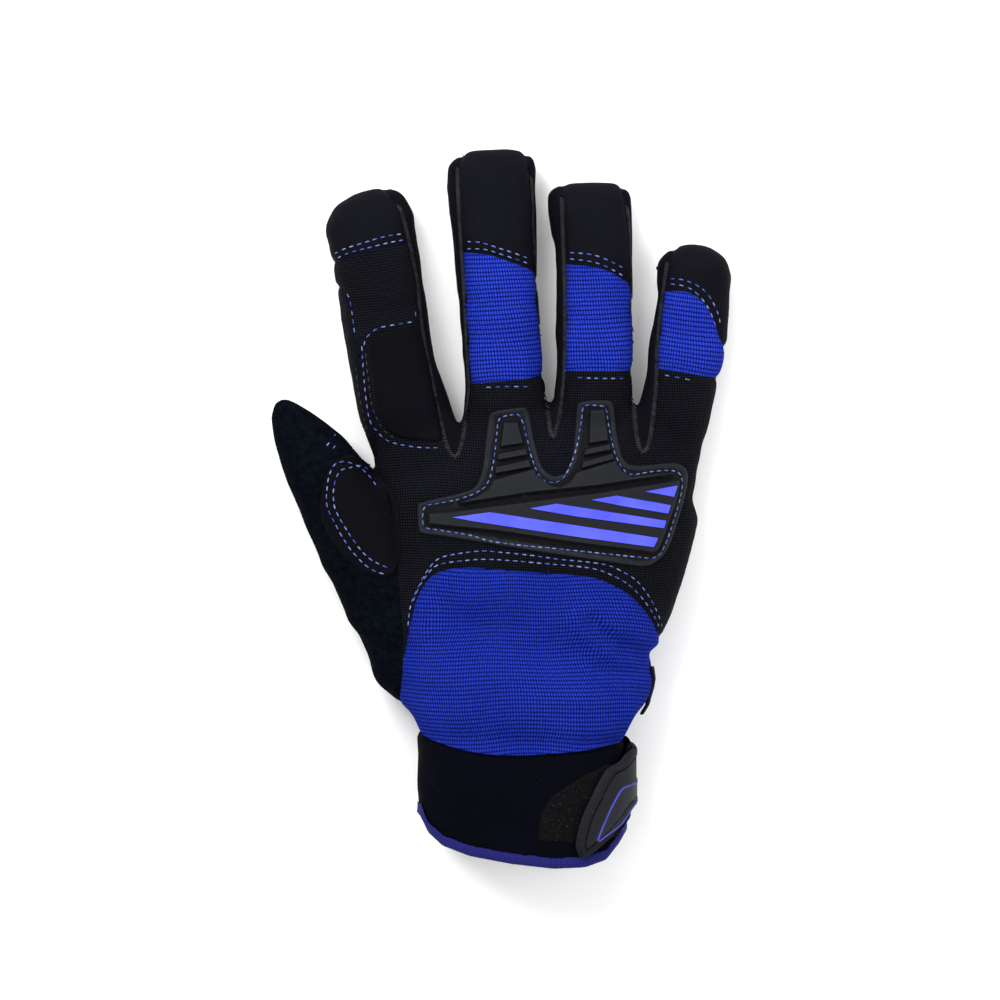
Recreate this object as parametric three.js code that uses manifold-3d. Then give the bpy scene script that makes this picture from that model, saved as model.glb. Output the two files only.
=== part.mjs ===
// A right-hand mechanic glove, filled out and lying palm down, in millimetres with +Z up.
// The origin is in the middle of the palm's flat underside, the fingers point along +Y
// and the little finger is on the +X side.
import * as THREE from "three";
import { mergeVertices } from "three/addons/utils/BufferGeometryUtils.js";
import Module from "manifold-3d";

const wasm = await Module();
wasm.setup();

// Hand and cuff
const PALM_WIDTH = 107;
const HAND_LENGTH = 114;
const HAND_HEIGHT = 44;
const CUFF_WIDTH = 71;
const CUFF_HEIGHT = 35.5;
const CUFF_LENGTH = 40.5;
const CUFF_LIFT = 5;
const CUFF_SHIFT = -7.8;

// Fingers and thumb, with their lean in degrees from the +Y axis
const INDEX_LENGTH = 86.6;
const INDEX_WIDTH = 30;
const INDEX_LEAN = -9.8;
const MIDDLE_LENGTH = 99.1;
const MIDDLE_WIDTH = 29;
const MIDDLE_LEAN = -3.2;
const RING_LENGTH = 87.7;
const RING_WIDTH = 27.6;
const RING_LEAN = -1.6;
const LITTLE_LENGTH = 67.2;
const LITTLE_WIDTH = 25;
const LITTLE_LEAN = 8.2;
const FINGER_HEIGHT = 25.5;
const THUMB_LENGTH = 119.9;
const THUMB_WIDTH = 33;
const THUMB_LEAN = -30;
const THUMB_HEIGHT = 31;

// Walls, seams and layers
const SKIN_WALL = 1.6;
const CUFF_WALL = 2.4;
const SEAM_GAP = 0.3;
const SIDE_SEAM_HEIGHT = 6;
const PATCH_THICKNESS = 1.2;
const BINDING_WIDTH = 3.8;
const BINDING_THICKNESS = 0.9;
const BINDING_SEAT = 1.3;

// Fold across the back of the wrist
const FOLD_DEPTH = 3.6;
const FOLD_WIDTH = 11;

// Knuckle guard
const GUARD_FLANGE = 1.2;
const GUARD_LIP_RISE = 0.8;
const GUARD_LIP_WIDTH = 1.5;
const GUARD_BODY_RISE = 2.2;
const GUARD_PLATE_RISE = 3;
const GUARD_GROOVE_WIDTH = 1.8;
const STRIPE_INLAY = 0.8;
const STRIPE_RISE = 0.3;

// Closure at the wrist
const LOOP_THICKNESS = 0.9;
const STRAP_THICKNESS = 1.2;
const TAB_THICKNESS = 1.8;
const TAB_LINE_WIDTH = 1.1;
const TAB_LINE_INLAY = 0.6;
const TAG_THICKNESS = 0.9;
const TAG_HEIGHT = 9;

// Mesh fineness
const HAND_SIDES = 20;
const FINGER_SIDES = 12;
const CUFF_SIDES = 20;
const STEPS_PER_POINT = 1;

// Reach of the cutting shapes past the glove, half width of the probe that picks a panel,
// and clearance above a cut
const FAR = 400;
const PROBE = 0.8;
const CLEAR = 1;

// Shapes of the cross-sections
const TOP_ROUNDNESS = 2.35;
const UNDERSIDE_ROUNDNESS = 2.9;
const WAIST = 0.42;
const FLOOR_PRESS = 1.2;

// Turns rows of numbers into records with named columns.
function table(columns, rows) {
  const names = columns.split(" ");
  return rows.map((row) => Object.fromEntries(names.map((name, column) => [name, row[column]])));
}

// A place on the plan, given as shares of a piece's half width and of its length.
class PlanFrame {
  constructor({ x, y, lean, width, length }) {
    this.origin = new THREE.Vector2(x, y);
    this.turn = THREE.MathUtils.degToRad(lean);
    this.halfWidth = width / 2;
    this.length = length;
  }

  // Sideways and forward distances in millimetres.
  at(sideways, forward) {
    const x = sideways * Math.cos(this.turn) + forward * Math.sin(this.turn);
    const y = forward * Math.cos(this.turn) - sideways * Math.sin(this.turn);
    return new THREE.Vector2(x, y).add(this.origin);
  }

  point({ across, along }) {
    return this.at(across * this.halfWidth, along * this.length);
  }

  points(rows) {
    return rows.map((row) => this.point(row));
  }
}

// The wrist seam is this share of the hand's length behind the origin.
const PALM_CENTRE = 0.567;
const WRIST_Y = -PALM_CENTRE * HAND_LENGTH;
const hand = new PlanFrame({ x: 0, y: WRIST_Y, lean: 0, width: PALM_WIDTH, length: HAND_LENGTH });
const cuffPlan = new PlanFrame({
  x: CUFF_SHIFT, y: WRIST_Y, lean: 0, width: CUFF_WIDTH, length: -CUFF_LENGTH,
});

function rootedFrame(root, sizes) {
  const { x, y } = hand.point(root);
  return new PlanFrame({ x, y, ...sizes });
}

const index = rootedFrame(
  { across: -0.855, along: 0.925 },
  { lean: INDEX_LEAN, width: INDEX_WIDTH, length: INDEX_LENGTH },
);
const middle = rootedFrame(
  { across: -0.255, along: 0.925 },
  { lean: MIDDLE_LEAN, width: MIDDLE_WIDTH, length: MIDDLE_LENGTH },
);
const ring = rootedFrame(
  { across: 0.325, along: 0.925 },
  { lean: RING_LEAN, width: RING_WIDTH, length: RING_LENGTH },
);
const little = rootedFrame(
  { across: 0.791, along: 0.925 },
  { lean: LITTLE_LEAN, width: LITTLE_WIDTH, length: LITTLE_LENGTH },
);
const thumb = rootedFrame(
  { across: -0.574, along: 0.134 },
  { lean: THUMB_LEAN, width: THUMB_WIDTH, length: THUMB_LENGTH },
);

// Cross-sections: at is a share of the length, left and right are shares of the half width,
// top and lift are shares of the height.
const SECTION_COLUMNS = "at left right top lift";
const HAND_SECTIONS = table(SECTION_COLUMNS, [
  [-0.04, 0.55, 0.26, 0.72, 0.22],
  [0.01, 0.772, 0.491, 0.87, 0.12],
  [0.06, 0.874, 0.6, 0.95, 0.05],
  [0.134, 0.912, 0.682, 1, 0],
  [0.209, 0.925, 0.695, 0.99, 0],
  [0.28, 0.938, 0.668, 0.95, 0],
  [0.373, 0.963, 0.765, 0.92, 0],
  [0.5, 0.99, 0.87, 0.87, 0],
  [0.674, 1.033, 0.963, 0.79, 0],
  [0.78, 1.07, 0.945, 0.75, 0],
  [0.9, 1.1, 1, 0.65, 0],
  [1.012, 1.0, 0.95, 0.45, 0.06],
]);
const CUFF_SECTIONS = table(SECTION_COLUMNS, [
  [-0.3, 0.94, 0.94, 0.95, 0.05],
  [0.1, 1, 1.01, 1, 0],
  [1.15, 0.99, 0.95, 1, 0],
]);
const FINGER_HEIGHTS = table("at top lift", [
  [-0.15, 0.75, 0.12],
  [0.12, 0.96, 0],
  [0.4, 0.88, 0],
  [0.7, 0.82, 0],
  [0.88, 0.75, 0],
  [0.96, 0.61, 0.04],
  [1, 0.42, 0.14],
]);
const FINGER_HALVES = {
  index: table("left right", [
    [0.7, 0.8], [1.08, 1.03], [1.09, 0.86], [1.07, 0.89], [1.12, 0.92], [0.84, 0.65], [0.36, 0.24],
  ]),
  middle: table("left right", [
    [0.8, 0.8], [0.92, 1.06], [0.9, 0.98], [0.96, 1.02], [1.05, 1.06], [0.94, 0.98], [0.5, 0.62],
  ]),
  ring: table("left right", [
    [0.8, 0.8], [1.07, 1.01], [0.94, 0.98], [0.93, 1.03], [1.01, 1.03], [0.97, 0.93], [0.64, 0.6],
  ]),
  little: table("left right", [
    [0.8, 0.7], [1, 1.01], [0.93, 1.09], [0.88, 1.09], [1, 0.99], [0.7, 0.76], [0.26, 0.36],
  ]),
};
const THUMB_SECTIONS = table(SECTION_COLUMNS, [
  [-0.1, 0.6, 0.8, 0.8, 0.1],
  [0.15, 1.06, 1, 0.98, 0],
  [0.4, 0.97, 1, 0.92, 0],
  [0.65, 0.82, 0.96, 0.82, 0],
  [0.82, 0.65, 0.76, 0.72, 0],
  [0.92, 0.48, 0.45, 0.56, 0.02],
  [0.97, 0.32, 0.25, 0.46, 0.06],
  [1, 0.15, 0.12, 0.34, 0.12],
]);

// The fold across the back of the wrist, from the thumb side to the little finger side.
const FOLD_START = { across: -0.478, along: 0.388 };
const FOLD_END = { across: 0.606, along: 0.179 };

// Makes a closed solid of a three.js geometry.
function solid(geometry) {
  geometry.deleteAttribute("normal");
  geometry.deleteAttribute("uv");
  const merged = mergeVertices(geometry, 1e-4);
  const mesh = new wasm.Mesh({
    numProp: 3,
    vertProperties: new Float32Array(merged.attributes.position.array),
    triVerts: new Uint32Array(merged.index.array),
  });
  return new wasm.Manifold(mesh);
}

function union(solids) {
  return solids.reduce((joined, next) => joined.add(next));
}

function block(low, high) {
  const size = new THREE.Vector3().subVectors(high, low);
  const middlePoint = new THREE.Vector3().addVectors(low, high).multiplyScalar(0.5);
  const geometry = new THREE.BoxGeometry(size.x, size.y, size.z);
  geometry.translate(middlePoint.x, middlePoint.y, middlePoint.z);
  return solid(geometry);
}

function heightBand(low, high) {
  return block(new THREE.Vector3(-FAR, -FAR, low), new THREE.Vector3(FAR, FAR, high));
}

// An upright prism over a plan outline.
function prism(outline, low = -FAR, high = FAR) {
  const shape = new THREE.Shape(outline);
  const geometry = new THREE.ExtrudeGeometry(shape, { depth: high - low, bevelEnabled: false });
  geometry.translate(0, 0, low);
  return solid(geometry);
}

function smoothLine(points) {
  return new THREE.SplineCurve(points).getPoints((points.length - 1) * STEPS_PER_POINT);
}

function smoothLoop(points) {
  const loop = points.map(({ x, y }) => new THREE.Vector3(x, y, 0));
  const curve = new THREE.CatmullRomCurve3(loop, true);
  return curve.getPoints(points.length * STEPS_PER_POINT).slice(1).map(({ x, y }) => new THREE.Vector2(x, y));
}

// Moves a plan line sideways by a distance, to its left when that is positive.
function shiftedLine(points, distance, closed = false) {
  return points.map((point, place) => {
    const before = points[place - 1] ?? (closed ? points.at(-1) : null);
    const after = points[place + 1] ?? (closed ? points[0] : null);
    const arriving = before ? point.clone().sub(before).normalize() : null;
    const leaving = after ? after.clone().sub(point).normalize() : arriving;
    const first = arriving ?? leaving;
    const mitre = first.clone().add(leaving).normalize();
    const reach = distance / mitre.dot(first);
    return new THREE.Vector2(point.x - mitre.y * reach, point.y + mitre.x * reach);
  });
}

// An upright wall of one width along an open plan line.
function ribbon(points, width) {
  const left = shiftedLine(points, width / 2);
  const right = shiftedLine(points, -width / 2);
  return prism([...left, ...right.reverse()]);
}

// The band of one width just inside a closed plan outline.
function rim(outline, width) {
  const inward = THREE.ShapeUtils.isClockWise(outline) ? -width : width;
  return prism(outline).subtract(prism(shiftedLine(outline, inward, true)));
}

function roundedPower(value, roundness) {
  return Math.sign(value) * Math.abs(value) ** (2 / roundness);
}

// How far the wrist's fold lowers the back of the hand at a point of the plan.
function foldDepth(point) {
  const start = hand.point(FOLD_START);
  const end = hand.point(FOLD_END);
  const line = end.clone().sub(start);
  const share = THREE.MathUtils.clamp(point.clone().sub(start).dot(line) / line.lengthSq(), 0, 1);
  const distance = point.distanceTo(start.add(line.multiplyScalar(share)));
  return FOLD_DEPTH * Math.exp(-((distance / FOLD_WIDTH) ** 2));
}

// Lofts a closed tube through cross-sections, enlarged all round by grow.
function tube({ frame, sections, height, sides, base = 0, grow = 0, folded = false }) {
  const spans = sections.length - 1;
  const geometry = new THREE.CylinderGeometry(1, 1, 1, sides, spans);
  const position = geometry.attributes.position;
  for (let vertex = 0; vertex < position.count; vertex += 1) {
    const section = sections[Math.round((position.getY(vertex) + 0.5) * spans)];
    const side = roundedPower(position.getX(vertex), TOP_ROUNDNESS);
    const half = section[side < 0 ? "left" : "right"] * frame.halfWidth + grow;
    const reach = section.at * frame.length + section.at * Math.sign(frame.length) * grow;
    const place = frame.at(side * half, reach);
    const low = base + section.lift * height - grow - (section.lift === 0 && base === 0 ? FLOOR_PRESS : 0);
    const high = base + section.top * height + grow;
    const waist = low + (high - low) * WAIST;
    const rise = position.getZ(vertex);
    const upper = roundedPower(rise, TOP_ROUNDNESS) * (high - waist);
    const lower = roundedPower(rise, UNDERSIDE_ROUNDNESS) * (waist - low);
    const fold = folded && rise > 0 ? foldDepth(place) * rise : 0;
    position.setXYZ(vertex, place.x, place.y, waist + (rise > 0 ? upper : lower) - fold);
  }
  return frame.length < 0 ? mirroredSolid(geometry) : solid(geometry);
}

// A loft that runs backwards has its faces turned round.
function mirroredSolid(geometry) {
  const corners = geometry.index.array;
  for (let corner = 0; corner < corners.length; corner += 3) {
    [corners[corner], corners[corner + 1]] = [corners[corner + 1], corners[corner]];
  }
  return solid(geometry);
}

function fingerTube(frame, sideRows, grow) {
  const sections = FINGER_HEIGHTS.map((heights, row) => ({ ...heights, ...sideRows[row] }));
  return tube({ frame, sections, height: FINGER_HEIGHT, sides: FINGER_SIDES, grow });
}

// The filled hand with its fingers and thumb, enlarged all round by grow and flat underneath.
function makeHandForm(grow) {
  const parts = [
    tube({
      frame: hand, sections: HAND_SECTIONS, height: HAND_HEIGHT, sides: HAND_SIDES, grow, folded: true,
    }),
    tube({ frame: thumb, sections: THUMB_SECTIONS, height: THUMB_HEIGHT, sides: FINGER_SIDES, grow }),
    fingerTube(index, FINGER_HALVES.index, grow),
    fingerTube(middle, FINGER_HALVES.middle, grow),
    fingerTube(ring, FINGER_HALVES.ring, grow),
    fingerTube(little, FINGER_HALVES.little, grow),
  ];
  return union(parts).intersect(heightBand(-grow, FAR));
}

function makeCuffForm(grow) {
  return tube({
    frame: cuffPlan, sections: CUFF_SECTIONS, height: CUFF_HEIGHT, sides: CUFF_SIDES, base: CUFF_LIFT, grow,
  });
}

function remembered(make) {
  const made = new Map();
  return (grow) => {
    const key = grow.toFixed(3);
    if (!made.has(key)) made.set(key, make(grow));
    return made.get(key);
  };
}

const handForm = remembered(makeHandForm);
const cuffForm = remembered(makeCuffForm);

function handLayer(low, high) {
  return handForm(high).subtract(handForm(low));
}

function cuffLayer(low, high) {
  return cuffForm(high).subtract(cuffForm(low));
}

// The end of the cuff on the plan, round like the hem.
const HEM_LINE = table("across along", [
  [-1.3, 0.35], [-0.985, 0.55], [-0.9, 0.7], [-0.76, 0.81], [-0.5, 0.895], [-0.1, 0.96], [0.3, 1],
  [0.6, 0.99], [0.8, 0.93], [0.92, 0.8], [1.02, 0.66], [1.3, 0.45],
]);

// Everything on the hand's side of the hem, less a margin.
function aheadOfHem(margin) {
  const line = smoothLine(cuffPlan.points(HEM_LINE)).map(({ x, y }) => new THREE.Vector2(x, y + margin));
  const left = [new THREE.Vector2(-FAR, FAR), new THREE.Vector2(-FAR, line[0].y)];
  const right = [new THREE.Vector2(FAR, line.at(-1).y), new THREE.Vector2(FAR, FAR)];
  return prism([...line, ...right, ...left]);
}

// Seams on the plan
const WRIST_SEAM = table("across along", [
  [-1.3, 0.2], [-0.9, 0.113], [-0.78, 0.045], [-0.54, -0.003], [-0.2, -0.026], [0.15, -0.018], [0.42, 0.009],
  [0.555, 0.05], [0.64, 0.11], [0.95, 0.2],
]);
const THUMB_SEAM = table("across along", [
  [-1.3, 0.96], [-1.09, 0.836], [-1.02, 0.776], [-0.957, 0.627], [-0.925, 0.477], [-0.906, 0.328],
  [-0.925, 0.2], [-0.96, 0.05],
]);
const PALM_THUMB_SEAM = table("across along", [
  [-1.3, 0.96], [-1.09, 0.836], [-0.925, 0.686], [-0.765, 0.507], [-0.72, 0.298], [-0.78, 0.15], [-0.98, 0],
]);
const KNIT_SEAM = table("across along", [
  [-0.95, 0.328], [-0.855, 0.4], [-0.772, 0.492], [-0.67, 0.537], [-0.478, 0.549], [-0.032, 0.531],
  [0.351, 0.513], [0.542, 0.471], [0.638, 0.43], [0.72, 0.37], [1, 0.28],
]);
const TIP_SEAMS = {
  index: table("across along", [[-1.3, 0.735], [-0.66, 0.756], [-0.1, 0.763], [0.4, 0.762], [1.1, 0.745]]),
  middle: table("across along", [[-1.15, 0.66], [-0.23, 0.647], [0.35, 0.621], [1.17, 0.56]]),
  ring: table("across along", [[-1.12, 0.697], [-0.03, 0.681], [0.41, 0.656], [1.16, 0.59]]),
  little: table("across along", [[-1.13, 0.745], [-0.24, 0.773], [0.19, 0.759], [0.64, 0.709], [1.3, 0.53]]),
};
const KNUCKLE_SEAMS = {
  middle: table("across along", [[-0.87, 0.2], [-0.4, 0.19], [0.66, 0.19], [1.06, 0.198]]),
  ring: table("across along", [[-0.77, 0.268], [-0.4, 0.255], [0.39, 0.243], [0.96, 0.24]]),
  little: table("across along", [[-0.63, 0.34], [-0.09, 0.331], [0.6, 0.334], [1.4, 0.37]]),
};
const INDEX_SIDE_SEAM = table("across along", [
  [-1.02, 0.748], [-0.9, 0.627], [-0.92, 0.447], [-0.96, 0.269], [-0.97, 0.1],
]);

// The seams on the two sides of each gap between fingers, from fingertip to root, and where they meet.
const GUSSETS = [
  {
    name: "fourchette_index_middle",
    from: index,
    down: table("across along", [[0.7, 0.765], [0.73, 0.618], [0.7, 0.499], [0.68, 0.3], [0.7, 0.1]]),
    root: { across: -0.574, along: 0.874 },
    to: middle,
    up: table("across along", [[-0.9, 0.1], [-0.8, 0.25], [-0.78, 0.489], [-0.76, 0.662]]),
  },
  {
    name: "fourchette_middle_ring",
    from: middle,
    down: table("across along", [[0.9, 0.61], [0.93, 0.475], [0.97, 0.302], [1.03, 0.095]]),
    root: { across: 0.045, along: 0.925 },
    to: ring,
    up: table("across along", [[-0.87, 0.12], [-0.72, 0.268], [-0.67, 0.548], [-0.62, 0.7]]),
  },
  {
    name: "fourchette_ring_little",
    from: ring,
    down: table("across along", [[0.92, 0.636], [0.93, 0.5], [0.93, 0.229], [0.96, 0.09]]),
    root: { across: 0.625, along: 0.887 },
    to: little,
    up: table("across along", [[-0.57, 0.062], [-0.59, 0.333], [-0.76, 0.595], [-0.72, 0.765]]),
  },
];

function gussetLine({ from, down, root, to, up }) {
  return [
    ...smoothLine([...from.points(down), hand.point(root)]),
    ...smoothLine([hand.point(root), ...to.points(up)]).slice(1),
  ];
}

function seamCut(points) {
  return ribbon(points, SEAM_GAP);
}

// Finds the loose piece that fills most of a small upright column.
function pieceAt(pieces, point) {
  const corner = new THREE.Vector3(PROBE, PROBE, FAR);
  const centre = new THREE.Vector3(point.x, point.y, 0);
  const column = block(centre.clone().sub(corner), centre.clone().add(corner));
  const shares = pieces.map((piece) => piece.intersect(column).volume());
  return pieces[shares.indexOf(Math.max(...shares))];
}

// The glove's skin, in one shell that is open at the hem
const outer = union([handForm(0), cuffForm(0)]);
const hollow = union([handForm(-SKIN_WALL), cuffForm(-CUFF_WALL)]);
const skin = outer.subtract(hollow).intersect(aheadOfHem(BINDING_SEAT));
const wristCut = seamCut(smoothLine(hand.points(WRIST_SEAM)));
const skinPieces = skin.subtract(wristCut).decompose();
const cuffSolid = pieceAt(skinPieces, cuffPlan.point({ across: 0, along: 0.5 }));
const handShell = pieceAt(skinPieces, hand.point({ across: 0, along: 0.5 }));
const backHalf = handShell.intersect(heightBand(SIDE_SEAM_HEIGHT + SEAM_GAP / 2, FAR));
const palmHalf = handShell.intersect(heightBand(-FAR, SIDE_SEAM_HEIGHT - SEAM_GAP / 2));

const backSeams = [
  smoothLine(hand.points(THUMB_SEAM)),
  smoothLine(hand.points(KNIT_SEAM)),
  smoothLine([...index.points(INDEX_SIDE_SEAM), hand.point(THUMB_SEAM[1])]),
  smoothLine(index.points(TIP_SEAMS.index)),
  smoothLine(middle.points(TIP_SEAMS.middle)),
  smoothLine(ring.points(TIP_SEAMS.ring)),
  smoothLine(little.points(TIP_SEAMS.little)),
  smoothLine(middle.points(KNUCKLE_SEAMS.middle)),
  smoothLine(ring.points(KNUCKLE_SEAMS.ring)),
  smoothLine(little.points(KNUCKLE_SEAMS.little)),
  ...GUSSETS.map(gussetLine),
];
const backPieces = backHalf.subtract(union(backSeams.map(seamCut))).decompose();
const palmPieces = palmHalf.subtract(seamCut(smoothLine(hand.points(PALM_THUMB_SEAM)))).decompose();

// Plan outlines of the pieces that lie on the skin
const INDEX_PATCH = table("across along", [
  [-0.44, 0.4], [-0.1, 0.428], [0.4, 0.428], [0.6, 0.4], [0.64, 0.3], [0.7, 0.15], [0.67, 0], [0.2, 0],
  [-0.34, 0.034], [-0.55, 0.08], [-0.56, 0.2], [-0.52, 0.32],
]);
const SADDLE_PATCH = table("across along", [
  [0.85, 0.79], [0.37, 0.786], [0, 0.745], [-0.3, 0.69], [-0.45, 0.62], [-0.44, 0.55], [-0.3, 0.475],
  [-0.1, 0.43], [0.29, 0.42], [0.6, 0.445], [0.9, 0.53], [1.08, 0.59], [1, 0.65], [1.08, 0.72],
]);
const GUARD_OUTLINE = table("across along", [
  [-0.816, 0.731], [-0.542, 0.767], [-0.446, 0.785], [-0.402, 0.836], [-0.364, 0.985], [-0.325, 1.015],
  [-0.147, 1.021], [-0.115, 1], [-0.057, 0.895], [-0.02, 0.84], [0.055, 0.815], [0.125, 0.827],
  [0.172, 0.88], [0.204, 1.024], [0.228, 1.045], [0.389, 1.045], [0.427, 1.03], [0.466, 0.895],
  [0.504, 0.851], [0.861, 0.853], [0.899, 0.83], [0.893, 0.791], [0.848, 0.701], [0.765, 0.597], [0.66, 0.546],
  [0.542, 0.549], [0.351, 0.564], [-0.159, 0.6], [-0.804, 0.65],
]);
const GUARD_BODY = table("across along", [
  [-0.75, 0.708], [-0.44, 0.745], [-0.35, 0.79], [-0.31, 0.818], [-0.12, 0.822], [-0.02, 0.79], [0.12, 0.79],
  [0.2, 0.835], [0.255, 0.845], [0.44, 0.85], [0.53, 0.82], [0.82, 0.822], [0.855, 0.8], [0.82, 0.72],
  [0.74, 0.615], [0.67, 0.58], [0.351, 0.592], [-0.15, 0.626], [-0.66, 0.664], [-0.76, 0.672],
]);
const GUARD_GROOVE = table("across along", [[-1, 0.698], [1, 0.828]]);
const GUARD_PLATES = [
  table("across along", [[-0.268, 0.97], [-0.185, 0.97], [-0.159, 0.904], [-0.287, 0.895]]),
  table("across along", [[-0.305, 0.884], [-0.148, 0.884], [-0.142, 0.857], [-0.31, 0.857]]),
  table("across along", [[0.252, 0.985], [0.385, 0.99], [0.408, 0.922], [0.252, 0.916]]),
  table("across along", [[0.262, 0.904], [0.425, 0.907], [0.435, 0.875], [0.255, 0.872]]),
];
const GUARD_STRIPES = [
  table("across along", [
    [-0.6, 0.69], [-0.43, 0.704], [-0.338, 0.7], [0.71, 0.631], [0.68, 0.61], [0.1, 0.642], [-0.351, 0.672],
  ]),
  table("across along", [
    [-0.096, 0.716], [0, 0.726], [0.096, 0.727], [0.757, 0.684], [0.735, 0.657], [0.606, 0.665],
    [0.032, 0.702],
  ]),
  table("across along", [
    [0.3, 0.741], [0.4, 0.749], [0.5, 0.752], [0.785, 0.73], [0.767, 0.705], [0.351, 0.731],
  ]),
  table("across along", [[0.631, 0.766], [0.81, 0.78], [0.795, 0.753]]),
];
const LOOP_PATCH = table("across along", [
  [0.154, 0.78], [0.165, 0.548], [0.25, 0.422], [0.42, 0.31], [0.62, 0.19], [0.86, 0.19],
  [0.86, 0.6], [0.72, 0.78],
]);
const CLOSURE_TAB = table("across along", [
  [0.6, 0.88], [0.548, 0.8], [0.586, 0.633], [0.75, 0.338], [0.9, 0.16], [1.05, 0.05], [1.5, 0.05],
  [1.5, 0.56], [1.1, 0.56], [0.942, 0.7], [0.8, 0.815], [0.68, 0.88],
]);
const CLOSURE_STRAP = table("across along", [
  [0.66, 0.66], [0.79, 0.38], [0.95, 0.22], [1.06, 0.12], [1.5, 0.12], [1.5, 0.5], [1.05, 0.5], [0.86, 0.66],
]);
const TAB_LINE = table("across along", [[0.7, 0.76], [0.73, 0.62], [0.84, 0.45], [0.95, 0.32], [1.3, 0.2]]);
const SIDE_TAG = { start: 0.105, end: 0.25, rise: 0.3 };

// A piece of one thickness on the back of the hand, inside a plan prism.
function backOverlay(region, low, high) {
  return handLayer(low, high).intersect(region).intersect(heightBand(SIDE_SEAM_HEIGHT, FAR));
}

function smoothPatch(frame, rows) {
  const region = prism(smoothLoop(frame.points(rows)));
  return backOverlay(region, SEAM_GAP, SEAM_GAP + PATCH_THICKNESS);
}

// The knuckle guard: a flange with a raised lip round a raised body with plates, grooves and stripe pockets.
const guardTop = SEAM_GAP + GUARD_FLANGE + GUARD_BODY_RISE;

function makeGuard() {
  const outline = hand.points(GUARD_OUTLINE);
  const flangeTop = SEAM_GAP + GUARD_FLANGE;
  const flange = backOverlay(prism(outline), SEAM_GAP, flangeTop);
  const lip = backOverlay(rim(outline, GUARD_LIP_WIDTH), SEAM_GAP, flangeTop + GUARD_LIP_RISE);
  const body = backOverlay(prism(hand.points(GUARD_BODY)), SEAM_GAP, guardTop);
  const groove = ribbon(hand.points(GUARD_GROOVE), GUARD_GROOVE_WIDTH);
  const carved = body.subtract(groove.intersect(handLayer(flangeTop, guardTop + CLEAR)));
  const plates = GUARD_PLATES.map((rows) => (
    backOverlay(prism(hand.points(rows)), SEAM_GAP, flangeTop + GUARD_PLATE_RISE)
  ));
  const pocketFloor = guardTop - STRIPE_INLAY - SEAM_GAP;
  const pockets = GUARD_STRIPES.map((rows) => {
    const outlineOfStripe = hand.points(rows);
    const outward = THREE.ShapeUtils.isClockWise(outlineOfStripe) ? SEAM_GAP : -SEAM_GAP;
    const opened = prism(shiftedLine(outlineOfStripe, outward, true));
    return opened.intersect(handLayer(pocketFloor, guardTop + CLEAR));
  });
  return union([flange, lip, carved, ...plates]).subtract(union(pockets));
}

function makeStripe(rows) {
  return backOverlay(prism(hand.points(rows)), guardTop - STRIPE_INLAY, guardTop + STRIPE_RISE);
}

// The binding is folded over the end of the cuff, with its two sides outside and inside the wall.
function makeBinding() {
  const reach = SEAM_GAP + BINDING_THICKNESS;
  const band = aheadOfHem(0).subtract(aheadOfHem(BINDING_WIDTH));
  const slot = aheadOfHem(BINDING_SEAT - SEAM_GAP).intersect(cuffLayer(-CUFF_WALL - SEAM_GAP, SEAM_GAP));
  return cuffLayer(-CUFF_WALL - reach, reach).intersect(band).subtract(slot);
}

// The closure: a loop patch on the cuff, a strap over it round the little finger's side,
// and a moulded tab on the strap.
const strapLow = SEAM_GAP + LOOP_THICKNESS + SEAM_GAP;
const tabLow = strapLow + STRAP_THICKNESS + SEAM_GAP;
const tabTop = tabLow + TAB_THICKNESS;
const cuffMiddle = CUFF_LIFT + CUFF_HEIGHT * WAIST;

function cuffOverlay(outline, low, high, bottom = -FAR) {
  return cuffLayer(low, high).intersect(prism(outline)).intersect(heightBand(bottom, FAR));
}

function makeTab() {
  const tab = cuffOverlay(cuffPlan.points(CLOSURE_TAB), tabLow, tabTop, cuffMiddle);
  const groove = ribbon(smoothLine(cuffPlan.points(TAB_LINE)), TAB_LINE_WIDTH + 2 * SEAM_GAP);
  return tab.subtract(groove.intersect(cuffLayer(tabTop - TAB_LINE_INLAY - SEAM_GAP, tabTop + CLEAR)));
}

function makeTabLine() {
  const line = ribbon(smoothLine(cuffPlan.points(TAB_LINE)), TAB_LINE_WIDTH);
  const inlay = cuffLayer(tabTop - TAB_LINE_INLAY, tabTop).intersect(line);
  return inlay.intersect(heightBand(cuffMiddle + SEAM_GAP, FAR));
}

function makeTag() {
  const start = hand.point({ across: 0, along: SIDE_TAG.start });
  const end = hand.point({ across: FAR, along: SIDE_TAG.end });
  const low = SIDE_TAG.rise * HAND_HEIGHT;
  const region = block(
    new THREE.Vector3(start.x, start.y, low),
    new THREE.Vector3(end.x, end.y, low + TAG_HEIGHT),
  );
  return handLayer(SEAM_GAP, SEAM_GAP + TAG_THICKNESS).intersect(region);
}

// Materials
function material(color, roughness) {
  return new THREE.MeshStandardMaterial({ color, roughness, metalness: 0 });
}

const blackLeather = material("#1b1b1e", 0.75);
const blackKnit = material("#1d1d22", 0.9);
const blueKnit = material("#2a35c4", 0.9);
const fleece = material("#14181c", 1);
const guardRubber = material("#2d2d33", 0.55);
const stripeRubber = material("#5a54ee", 0.5);
const neoprene = material("#17171a", 0.95);
const blueBinding = material("#2733b4", 0.85);
const loopPile = material("#23232a", 1);

const glove = new THREE.Group();

function addPiece(name, piece, look) {
  const mesh = piece.getMesh();
  const geometry = new THREE.BufferGeometry();
  geometry.setAttribute("position", new THREE.BufferAttribute(new Float32Array(mesh.vertProperties), 3));
  geometry.setIndex(new THREE.BufferAttribute(new Uint32Array(mesh.triVerts), 1));
  geometry.computeVertexNormals();
  const part = new THREE.Mesh(geometry, look);
  part.name = name;
  glove.add(part);
}

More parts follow.
